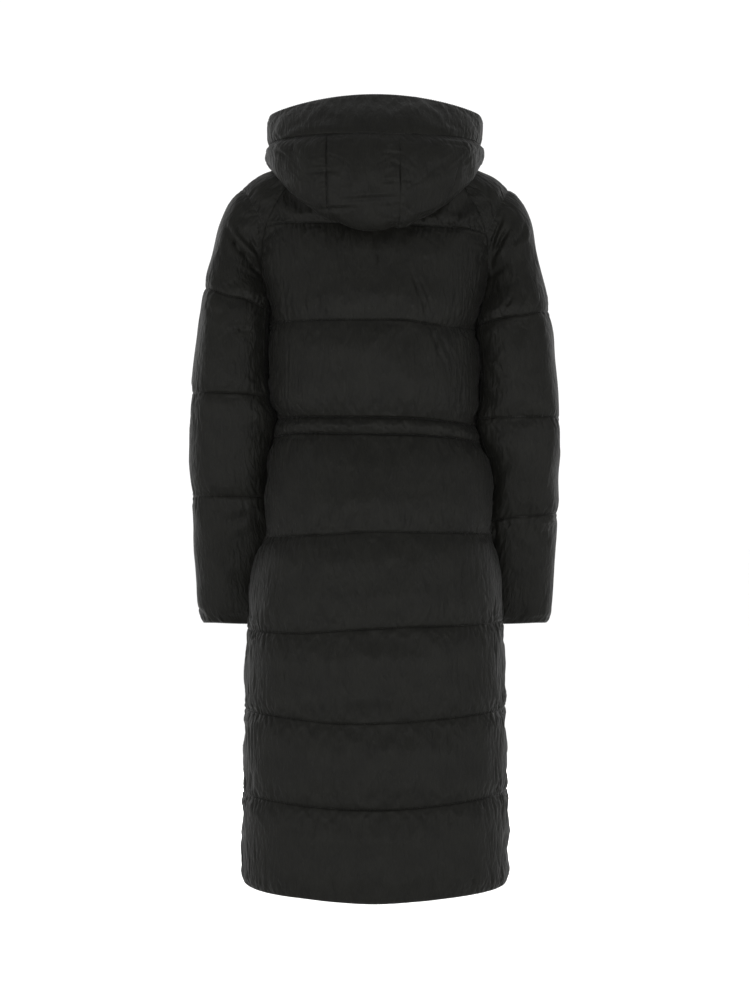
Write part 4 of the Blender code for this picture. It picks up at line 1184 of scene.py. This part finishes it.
BRIM_GROOVE = 0.0035
BRIM_PILLOW = 0.016
RIM_GROOVE = 0.002
RIM_PILLOW = 0.012
HOOD_EDGE_GROOVE = 0.0026
HOOD_EDGE_FADE = 0.03       # the puckers fade out over this distance from the zip
HOOD_MIDDLE = (0, 0.03, 0)  # the brim seam faces away from here
CENTRE_GROOVE = 0.0009      # beside the centre panel
CENTRE_PILLOW = 0.006
CENTRE_SEAMS = (math.radians(25.5), math.radians(-12.75))
FRONT_ANGLE = math.pi - math.asin(FRONT_EDGE / NECK_HALF_WIDTH)


def at_zip(angles):
    """Whether a place on the way round the hood lies on its front edge, at the zip."""
    return np.abs(angles) >= FRONT_ANGLE - 1e-6


def hood_ring(ring, angles):
    lean = np.abs(np.cos(angles))
    behind = np.cos(angles) >= 0
    end = np.where(behind, ring.back, -ring.front)
    end_z = np.where(behind, ring.z_back, ring.z_front)
    line = np.stack([
        ring.half_width * np.sin(angles),
        mix(ring.widest, end, lean ** ring.plan),
        mix(ring.z_side, end_z, lean ** ring.drop)], axis=1)
    line[:, 0] = np.where(at_zip(angles), np.copysign(FRONT_EDGE, angles), line[:, 0])
    return line


def hood_crest(angles):
    """The hood's rows through all its rings, and the row of the brim seam."""
    keys = [hood_ring(ring, angles) for ring in HOOD]
    keys.append(np.array([neck_point(angle) for angle in angles]))
    keys = np.array(keys)
    steps = np.linalg.norm(np.diff(keys, axis=0), axis=2).mean(1) ** 0.5
    knots = np.concatenate([[0], np.cumsum(steps)])
    slopes = np.gradient(keys, knots, axis=0)
    rows = []
    for i, ring in enumerate(HOOD):
        step = knots[i + 1] - knots[i]
        for t in np.linspace(0, 1, ring.rows + 1)[:-1]:
            rows.append(
                keys[i] * (1 + 2 * t) * (1 - t) ** 2 + keys[i + 1] * t * t * (3 - 2 * t)
                + step * (slopes[i] * t * (1 - t) ** 2 - slopes[i + 1] * t * t * (1 - t)))
    rows.append(keys[-1])
    return np.array(rows), HOOD[0].rows + HOOD[1].rows


HOOD_CREASES = (
    Crease([(0.051, -0.087), (-0.001, -0.085), (-0.041, -0.083)], 0.0024, 0.0030, 0.0016),
    Crease([(0.095, -0.096), (0.060, -0.099), (0.023, -0.098)], 0.0026, 0.0030, 0.0016),
    Crease([(-0.016, -0.123), (-0.053, -0.120)], 0.0020, 0.0026, 0.0012),
    Crease([(-0.012, -0.019), (-0.034, -0.018)], 0.0018, 0.0026, 0.0010),
    Crease([(-0.022, -0.031), (-0.038, -0.036)], 0.0022, 0.0026, 0.0012),
    Crease([(-0.008, -0.062), (-0.036, -0.060)], 0.0018, 0.0026, 0.0010),
    Crease([(0.108, -0.044), (0.057, -0.044)], 0.0018, 0.0026, 0.0010),
    Crease([(0.151, 0.011), (0.111, 0.019)], 0.0018, 0.0028, 0.0012),
    Crease([(0.150, -0.004), (0.136, -0.016)], 0.0018, 0.0026, 0.0010),
    Crease([(-0.102, 0.001), (-0.144, 0.002)], 0.0018, 0.0026, 0.0012),
    # the quilt line down the right side panel
    Crease([(-0.129, -0.019), (-0.127, -0.045), (-0.121, -0.065), (-0.108, -0.084)],
           0.0030, 0.0024, 0.0008),
)
hood_angles = {
    "brim": np.linspace(FRONT_ANGLE, -FRONT_ANGLE, 417),
    "side_left": np.linspace(FRONT_ANGLE, CENTRE_SEAMS[0], 177),
    "centre": np.linspace(CENTRE_SEAMS[0], CENTRE_SEAMS[1], 49),
    "side_right": np.linspace(CENTRE_SEAMS[1], -FRONT_ANGLE, 193),
}
hood = {}
for part, angles in hood_angles.items():
    crest, seam = hood_crest(angles)
    crest = crest[:seam + 1] if part == "brim" else crest[seam:]
    cloth = Cloth(f"hood_{part}_cloth", crest, HOOD_FILLED)
    seam_row = seam if part == "brim" else 0
    level = unit((cloth.crest[seam_row] - HOOD_MIDDLE) * (1, 1, 0))
    cloth.quilt(seam_row, np.full(len(angles), BRIM_GROOVE), BRIM_PILLOW, level)
    if part == "brim":
        cloth.quilt(0, np.full(len(angles), RIM_GROOVE), RIM_PILLOW)
    for column in (0, -1):
        if at_zip(angles[column]):
            forward = unit(cloth.normal[:, column] * (0, 1, 1))
            cloth.join(column, HOOD_EDGE_GROOVE, EDGE_PILLOW, forward)
        else:
            cloth.join(column, CENTRE_GROOVE, CENTRE_PILLOW)
    hood[part] = (cloth, seam_row)
puff_out([entry[0] for entry in hood.values()], 0.35)
for number, (part, (cloth, seam_row)) in enumerate(hood.items()):
    zip_columns = [column for column in (0, -1) if at_zip(hood_angles[part][column])]
    open_edge = np.ones(cloth.crest.shape[1])
    for column in zip_columns:
        away = np.abs(cloth.across[seam_row] - cloth.across[seam_row, column])
        open_edge = np.minimum(open_edge, np.clip(away / HOOD_EDGE_FADE, 0, 1))
    gather(cloth, seam_row, open_edge, 340 + number, 0.010, 0.0016)
    if part == "brim":
        gather(cloth, 0, 0.8 * open_edge, 350, 0.012, 0.0014, (1,))
    for column, ways in ((0, (1,)), (-1, (-1,))):
        if column not in zip_columns:
            gather(cloth, column, np.ones(len(cloth.crest)), 360 + number, 0.012, 0.0018,
                   ways, upright=True)
    ripple(cloth, 71 + number, 0.055, 0.0032)
    ripple(cloth, 81 + number, 0.022, 0.0016)
    lay_creases(cloth, HOOD_CREASES)
    for column in zip_columns:
        cloth.raised[:, column] = 0
    mark_stitches(cloth, [0])
    dress(cloth, "hood_" + part)


# ---------------------------------------------------------------- quilt stitching
# Black polyester thread, lockstitched through shell, filling and lining along every quilt
# line: stitches 3 mm long, four millimetres from one to the next.
STITCH_PITCH = 0.004
STITCH_LENGTH = 0.0030
STITCH_RADIUS = 0.00030
STITCH_LIFT = 0.00010       # the thread's middle above the cloth


def solid(name, points, faces, material=None):
    """A plain mesh object with its faces turned outwards."""
    mesh = bpy.data.meshes.new(name)
    mesh.from_pydata([tuple(point) for point in points], [], faces)
    shape = bmesh.new()
    shape.from_mesh(mesh)
    bmesh.ops.recalc_face_normals(shape, faces=shape.faces)
    shape.to_mesh(mesh)
    shape.free()
    if material:
        mesh.materials.append(material)
    return add_object(name, mesh)


def tube_faces(rings, around):
    """Faces of a closed tube of rings with a point at each end."""
    last = rings * around
    faces = []
    for k in range(around):
        after = (k + 1) % around
        faces.append((last, after, k))
        faces.append((last + 1, last - around + k, last - around + after))
        for r in range(rings - 1):
            a = r * around
            faces.append((a + k, a + after, a + around + after, a + around + k))
    return faces


def row_of_pieces():
    """Geometry Nodes: copies of one small piece along curves, turned outwards."""
    tree = bpy.data.node_groups.new("row_of_pieces", "GeometryNodeTree")
    for name, kind in (("Lines", "Geometry"), ("Piece", "Object"), ("Spacing", "Float"),
                       ("Tilt", "Float"), ("Seed", "Int"), ("Material", "Material")):
        tree.interface.new_socket(name, in_out="INPUT", socket_type="NodeSocket" + kind)
    tree.interface.new_socket("Pieces", in_out="OUTPUT", socket_type="NodeSocketGeometry")
    given = add_node(tree, "NodeGroupInput")
    result = add_node(tree, "NodeGroupOutput")
    curves = add_node(tree, "GeometryNodeMeshToCurve")
    places = add_node(tree, "GeometryNodeCurveToPoints", mode="LENGTH")
    shape = add_node(tree, "GeometryNodeObjectInfo")
    outwards = add_node(
        tree, "GeometryNodeInputNamedAttribute", {"Name": "outwards"}, data_type="FLOAT_VECTOR")
    turned = add_node(tree, "FunctionNodeAxesToRotation", primary_axis="Z", secondary_axis="Y")
    lowest = add_node(tree, "ShaderNodeMath", {1: -1.0}, operation="MULTIPLY")
    chance = add_node(tree, "FunctionNodeRandomValue", data_type="FLOAT")
    skewed = add_node(tree, "FunctionNodeAxisAngleToRotation", {"Axis": (0, 1, 0)})
    both = add_node(tree, "FunctionNodeRotateRotation", rotation_space="LOCAL")
    copies = add_node(tree, "GeometryNodeInstanceOnPoints")
    real = add_node(tree, "GeometryNodeRealizeInstances")
    painted = add_node(tree, "GeometryNodeSetMaterial")
    least, most = [socket for socket in chance.inputs if socket.enabled][:2]
    drawn = next(socket for socket in chance.outputs if socket.enabled)
    tree.links.new(lowest.outputs["Value"], least)
    tree.links.new(given.outputs["Tilt"], most)
    tree.links.new(drawn, skewed.inputs["Angle"])
    link_up(
        tree, (given, "Lines", curves, "Mesh"), (curves, "Curve", places, "Curve"),
        (given, "Spacing", places, "Length"), (given, "Piece", shape, "Object"),
        (places, "Tangent", turned, "Primary Axis"),
        (outwards, "Attribute", turned, "Secondary Axis"),
        (given, "Tilt", lowest, 0), (given, "Seed", chance, "Seed"),
        (turned, "Rotation", both, "Rotation"), (skewed, "Rotation", both, "Rotate By"),
        (places, "Points", copies, "Points"), (shape, "Geometry", copies, "Instance"),
        (both, "Rotation", copies, "Rotation"), (copies, "Instances", real, "Geometry"),
        (real, "Geometry", painted, "Geometry"), (given, "Material", painted, "Material"),
        (painted, "Geometry", result, "Pieces"))
    return tree


copy_tree = row_of_pieces()


def lay_copies(name, lines, piece, spacing, tilt, seed, material):
    """One plain mesh of copies of a small piece along lines of (points, outward normals)."""
    mesh = bpy.data.meshes.new(name + "_lines")
    points = np.concatenate([line[0] for line in lines])
    outwards = np.concatenate([line[1] for line in lines])
    ends = np.cumsum([len(line[0]) for line in lines])
    edges = [(i, i + 1) for i in range(len(points) - 1) if i + 1 not in ends]
    mesh.from_pydata(points.tolist(), edges, [])
    mesh.attributes.new("outwards", "FLOAT_VECTOR", "POINT").data.foreach_set(
        "vector", outwards.ravel().astype(np.float32))
    track = add_object(name + "_lines", mesh)
    copier = track.modifiers.new("copies", "NODES")
    copier.node_group = copy_tree
    values = {"Piece": piece, "Spacing": spacing, "Tilt": tilt, "Seed": seed, "Material": material}
    for item in copy_tree.interface.items_tree:
        if item.in_out == "INPUT" and item.name in values:
            copier[item.identifier] = values[item.name]
    laid = track.evaluated_get(bpy.context.evaluated_depsgraph_get())
    made = bpy.data.meshes.new_from_object(laid)
    made.name = name
    bpy.data.objects.remove(track)
    bpy.data.objects.remove(piece)
    return add_object(name, made)


ROUGHNESS_SPREAD = 0.08     # how much rougher or smoother than its mean a surface gets


def plain_material(name, colour, roughness, specular, spot_scale, spot_strength):
    """Procedural colour and roughness variation in object space over a plain base."""
    made, tree, shader = new_material(name, {"Specular IOR Level": specular})
    place = add_node(tree, "ShaderNodeTexCoord")
    spots = add_node(tree, "ShaderNodeTexNoise", {"Scale": spot_scale, "Detail": 4.0})
    darker, lighter = (
        (*(channel * (1 + way * spot_strength) for channel in colour), 1) for way in (-1, 1))
    tone = add_node(tree, "ShaderNodeMix", {"A": darker, "B": lighter}, data_type="RGBA")
    worn = add_node(tree, "ShaderNodeMapRange", {
        "To Min": roughness - ROUGHNESS_SPREAD, "To Max": roughness + ROUGHNESS_SPREAD})
    link_up(
        tree, (place, "Object", spots, "Vector"), (spots, "Fac", tone, "Factor"),
        (tone, "Result", shader, "Base Color"), (spots, "Fac", worn, "Value"),
        (worn, "Result", shader, "Roughness"))
    return made


thread = plain_material("thread", (0.0100, 0.0100, 0.0092), 0.60, 0.30, 900.0, 0.35)
corners = np.linspace(0, 2 * math.pi, 4, endpoint=False) + math.pi / 4
stitch_points = [
    (STITCH_RADIUS * 1.1 * math.cos(corner),
     STITCH_LIFT * 0.8 + STITCH_RADIUS * 1.1 * math.sin(corner), STITCH_LENGTH * along)
    for along in (-0.22, 0.22) for corner in corners]
stitch_points += [(0, -STITCH_RADIUS, -STITCH_LENGTH / 2), (0, -STITCH_RADIUS, STITCH_LENGTH / 2)]
stitch = solid("stitch", stitch_points, tube_faces(2, 4))
stitches = lay_copies("quilt_stitches", stitch_lines, stitch, STITCH_PITCH, 0.10, 7, thread)
stitches.data.shade_smooth()
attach(stitches, "coat")


# ---------------------------------------------------------------- zip tapes
# Two woven polyester tapes, one millimetre thick, from the rim of the hood to the hem. Their
# inner edges carry the teeth; the outer half is turned in and sewn to the fronts' turned edges.
TAPE_SECTION = (            # the way from the middle outwards, and the depth behind the edge
    (0.0067, 0.0066), (0.0067, 0.0012), (0.0063, 0.0009), (0.0040, 0.0009), (0.0032, 0.0009),
    (0.0026, 0.0005), (0.0018, 0.0005), (0.0011, 0.0009), (0.0001, 0.0012), (0.0001, 0.0016),
    (0.0011, 0.0019), (0.0018, 0.0023),
    (0.0026, 0.0023), (0.0032, 0.0019), (0.0040, 0.0019), (0.0054, 0.0019), (0.0057, 0.0022),
    (0.0057, 0.0066))
TAPE_STEP = 0.004
zip_points = np.concatenate(
    [hood["brim"][0].outer()[:, 0], hood["side_left"][0].outer()[1:, 0]]
    + [fronts[part, "left"][0].outer()[1:, 0] for part in ("bodice", "casing", "skirt")])
zip_points[:, 0] = 0
run = np.concatenate([[0], np.cumsum(np.linalg.norm(np.diff(zip_points, axis=0), axis=1))])


def zip_path(start, spacing):
    """Points along the zip from a distance below its top, and the way out of the coat."""
    at = np.arange(start, run[-1], spacing)
    points = np.stack([np.interp(at, run, zip_points[:, k]) for k in range(3)], axis=1)
    points = soften(points[:, None], 2)[:, 0] if len(points) > 3 else points
    slope = unit(np.gradient(points, axis=0))
    return points, np.stack([np.zeros(len(points)), slope[:, 2], -slope[:, 1]], axis=1)


def prism_faces(rows, around):
    """The faces of rows of corners that lie round a bar, with a flat one at either end."""
    faces = [
        (r * around + k, r * around + (k + 1) % around,
         (r + 1) * around + (k + 1) % around, (r + 1) * around + k)
        for r in range(rows - 1) for k in range(around)]
    return faces + [tuple(range(around)), tuple(range((rows - 1) * around, rows * around))[::-1]]


def woven_tape():
    """Black polyester twill tape: fine diagonal ribs and a fuzz of lighter fibres."""
    made = plain_material("zip_tape", (0.0070, 0.0070, 0.0065), 0.80, 0.20, 600.0, 0.3)
    tree = made.node_tree
    place = add_node(tree, "ShaderNodeUVMap", uv_map="pattern")
    ribs = add_node(tree, "ShaderNodeTexWave", {"Scale": 260.0, "Distortion": 0.4},
                    bands_direction="DIAGONAL")
    raised = add_node(tree, "ShaderNodeBump", {"Strength": 0.6, "Distance": 0.0002})
    link_up(
        tree, (place, "UV", ribs, "Vector"), (ribs, "Fac", raised, "Height"),
        (raised, "Normal", tree.nodes["Principled BSDF"], "Normal"))
    return made


tape_cloth = woven_tape()
section = np.array(TAPE_SECTION)
for side, mirror in SIDES.items():
    points, outwards = zip_path(0, TAPE_STEP)
    grid = np.stack([
        points + outwards * -depth + np.array([mirror * x, 0, 0]) for x, depth in section], axis=1)
    rows, around = grid.shape[:2]
    tape = solid(f"zip_tape_{side}_cloth", grid.reshape(-1, 3), prism_faces(rows, around),
                 tape_cloth)
    layer = tape.data.uv_layers.new(name="pattern")
    for loop in tape.data.loops:
        r, k = divmod(loop.vertex_index, around)
        layer.data[loop.index].uv = (section[k].sum(), -r * TAPE_STEP)
    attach(tape, "coat")
    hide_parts("zip_tape_" + side)


# ---------------------------------------------------------------- zip teeth
# Moulded nylon teeth on both tapes, gripping one another along the middle. Each is a
# rounded bar with a mushroom head, 1.3 mm from the next one of the other side.
TOOTH_PITCH = 0.0026
TOOTH_THICK = 0.0024
TOOTH_ROUND = 0.0004        # the depth over which its faces are rounded off
TOOTH_FACE = 0.82           # the size of the faces, which shrink towards the stem
TOOTH_STEM = 0.0011
CHAIN_TOP = 0.002           # the first tooth, below the top of the tapes
TOOTH_OUTLINE = (           # half of it: across the zip, and half the width along the zip
    (0.0029, 0.00040), (0.0026, 0.00052), (0.0007, 0.00040),
    (0.0001, 0.00060), (-0.0004, 0.00058), (-0.0007, 0.00030))
nylon = plain_material("zip_teeth", (0.0080, 0.0080, 0.0078), 0.38, 0.45, 500.0, 0.25)
outline = list(TOOTH_OUTLINE) + [(x, -z) for x, z in TOOTH_OUTLINE[::-1]]
levels = ((0.0, TOOTH_FACE), (-TOOTH_ROUND, 1.0), (-TOOTH_THICK + TOOTH_ROUND, 1.0),
          (-TOOTH_THICK, TOOTH_FACE))
tooth_rows = []
for side, mirror, start in (("left", 1, CHAIN_TOP), ("right", -1, CHAIN_TOP + TOOTH_PITCH / 2)):
    tooth_points = [
        (mirror * mix(TOOTH_STEM, x, size), depth, z * size)
        for depth, size in levels for x, z in outline]
    tooth = solid("tooth_" + side, tooth_points, prism_faces(len(levels), len(outline)))
    line = zip_path(start, TOOTH_PITCH)
    tooth_rows.append(
        lay_copies("zip_teeth_" + side, [line], tooth, TOOTH_PITCH, 0.0, 3, nylon))
for row in tooth_rows:
    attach(row, "coat")
    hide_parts("zip_chain")


# ---------------------------------------------------------------- zip slider and pull tab
# A die-cast slider, enamelled black, stopped near the top of the zip. Its plate is waisted
# where the two rows of teeth meet; the tab's bar turns in the arched crown on it.
SLIDER_SIZE = (0.0086, 0.0022, 0.0120)
PLATE_FRONT = -0.00115      # the plate's face, behind the bar's axis
PLATE_ENDS = (0.86, 0.62)   # its width at the upper and at the lower end, of the widest
PLATE_WAIST = 0.16          # how much narrower it is where the teeth meet
PLATE_TAPER = 0.10          # and how much narrower again towards the lower end
PLATE_BEVEL = 0.0005
CROWN_SIZE = (0.0030, 0.0034, 0.0048)
CROWN_ROOT = 0.0005
CROWN_WALL = 0.0011
CROWN_HOLLOW = 0.0024       # how high the opening under the crown rises
CROWN_ROUND = 0.6           # the lower, the squarer its arch
TAB_SIZE = (0.0076, 0.0013, 0.0270)
TAB_WINDOW = (0.0044, 0.0044)
TAB_BAR = 0.0013
TAB_WIDEST = -0.004         # where the tab's two ends meet, from the bar's axis
TAB_BEVEL = 0.00028
TAB_CORNERS = 32            # round the tab, and as many round its window
enamel = plain_material("zip_metal", (0.0200, 0.0200, 0.0210), 0.32, 0.55, 700.0, 0.3)
enamel.node_tree.nodes["Principled BSDF"].inputs["Coat Weight"].default_value = 0.3
hinge = next(joint for joint in frame["joints"] if joint["name"] == "pull_tab_hinge")
pivot = np.array(hinge["pos_m"])
near_points, near_outwards = zip_path(0, 0.001)
nearest = int(np.argmin(np.linalg.norm(near_points - pivot, axis=1)))
outward = near_outwards[nearest]
down = np.cross(outward, (1.0, 0, 0))
down = down if down[2] < 0 else -down


def on_slider(x, out, along):
    """A point given across, outwards from the bar's axis and down the zip."""
    return pivot + np.array([x, 0, 0]) + outward * out + down * along


def shade_metal(made):
    made.data.shade_smooth()
    made.data.set_sharp_from_angle(angle=math.radians(50))


def round_off(made, width, steepest):
    """Round off the edges of a metal piece that are steeper than an angle in degrees."""
    shape = bmesh.new()
    shape.from_mesh(made.data)
    rims = [edge for edge in shape.edges if edge.calc_face_angle(0) > math.radians(steepest)]
    bmesh.ops.bevel(shape, geom=rims, offset=width, segments=3, affect="EDGES", profile=0.6)
    bmesh.ops.triangulate(shape, faces=[face for face in shape.faces if len(face.verts) > 4])
    shape.to_mesh(made.data)
    shape.free()
    shade_metal(made)


half, height = SLIDER_SIZE[0] / 2, SLIDER_SIZE[2] / 2
waisted = [(-half * PLATE_ENDS[0], -height), (half * PLATE_ENDS[0], -height)]
for t in np.linspace(-1, 1, 9):
    wide = 1 - PLATE_WAIST * math.cos(t * math.pi / 2) ** 2 - PLATE_TAPER * (t > 0) * t
    waisted.append((half * wide, t * height * 0.9))
waisted += [(half * PLATE_ENDS[1], height), (-half * PLATE_ENDS[1], height)]
waisted += [(-x, z) for x, z in waisted[2:-2][::-1]]
plate_points = [
    on_slider(x, out, z) for out in (PLATE_FRONT - SLIDER_SIZE[1], PLATE_FRONT)
    for x, z in waisted]
count = len(waisted)
faces = [tuple(range(count)), tuple(range(count, 2 * count))]
faces += [(k, (k + 1) % count, count + (k + 1) % count, count + k) for k in range(count)]
slider = solid("zip_slider_plate", plate_points, faces, enamel)
round_off(slider, PLATE_BEVEL, 50)


def crown_arch(half_length, foot, rise):
    """An arch along the zip, as places down the zip and outwards from the bar's axis."""
    return [(half_length * -math.cos(angle), foot + rise * math.sin(angle) ** CROWN_ROUND)
            for angle in np.linspace(0, math.pi, 13)]


# the crown: from the top of the plate over the bar to the plate's foot
profile = crown_arch(CROWN_SIZE[2] / 2, PLATE_FRONT, CROWN_SIZE[1] - CROWN_ROOT)
profile += crown_arch(CROWN_SIZE[2] / 2 - CROWN_WALL, PLATE_FRONT - 0.0001, CROWN_HOLLOW)[::-1]
count = len(profile)
crown_points = [
    on_slider(x, out, z) for x in (-CROWN_SIZE[0] / 2, CROWN_SIZE[0] / 2) for z, out in profile]
faces = []
for offset, order in ((0, 1), (count, -1)):
    for k in range(count // 2 - 1):
        ring = (offset + k, offset + k + 1, offset + count - 2 - k, offset + count - 1 - k)
        faces.append(ring[::order])
faces += [(k, (k + 1) % count, count + (k + 1) % count, count + k) for k in range(count)]
crown = solid("zip_slider_crown", crown_points, faces, enamel)
shade_metal(crown)
for piece in (slider, crown):
    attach(piece, "coat")
    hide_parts("zip_slider")

# the tab hangs plumb: a flat plate with a square window, whose upper bar turns in the crown
half_size = (TAB_SIZE[0] / 2, TAB_WINDOW[0] / 2)
bottom = TAB_BAR / 2 - TAB_SIZE[2]
window_middle = (-TAB_BAR / 2 + (-TAB_BAR / 2 - TAB_WINDOW[1])) / 2
tab_ends = (                # upper and lower: how square across and down, its curve, its end
    (1.35, 1.25, 0.8, TAB_BAR / 2), (1.5, 1.08, 0.9, bottom))
outer_loop = []
inner_loop = []
for k in range(TAB_CORNERS):
    angle = 2 * math.pi * k / TAB_CORNERS
    a, b = math.cos(angle), math.sin(angle)
    squared = max(abs(a), abs(b)) ** 0.75
    inner_loop.append((half_size[1] * a / squared * 0.97,
                       window_middle + TAB_WINDOW[1] / 2 * b / squared * 0.97))
    square_across, square_down, curve, end = tab_ends[b < 0]
    outer_loop.append((half_size[0] * min(1, abs(a) * square_across) * np.sign(a),
                       mix(TAB_WIDEST, end, min(1, abs(b) * square_down) ** curve)))
tab_points = [
    (x, out, z) for out in (TAB_SIZE[1] / 2, -TAB_SIZE[1] / 2) for x, z in outer_loop + inner_loop]
faces = []
for k in range(TAB_CORNERS):
    # a corner of the outer and of the inner loop behind, then of both in front
    here = [k + TAB_CORNERS * loop for loop in range(4)]
    after = [(k + 1) % TAB_CORNERS + TAB_CORNERS * loop for loop in range(4)]
    faces += [
        (here[0], after[0], after[1], here[1]), (here[2], here[3], after[3], after[2]),
        (here[0], here[2], after[2], after[0]), (here[1], after[1], after[3], here[3])]
tab = solid("zip_pull_tab_metal", np.array(tab_points) + pivot, faces, enamel)
round_off(tab, TAB_BEVEL, 60)
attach(tab, "pull_tab")
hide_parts("zip_pull_tab")
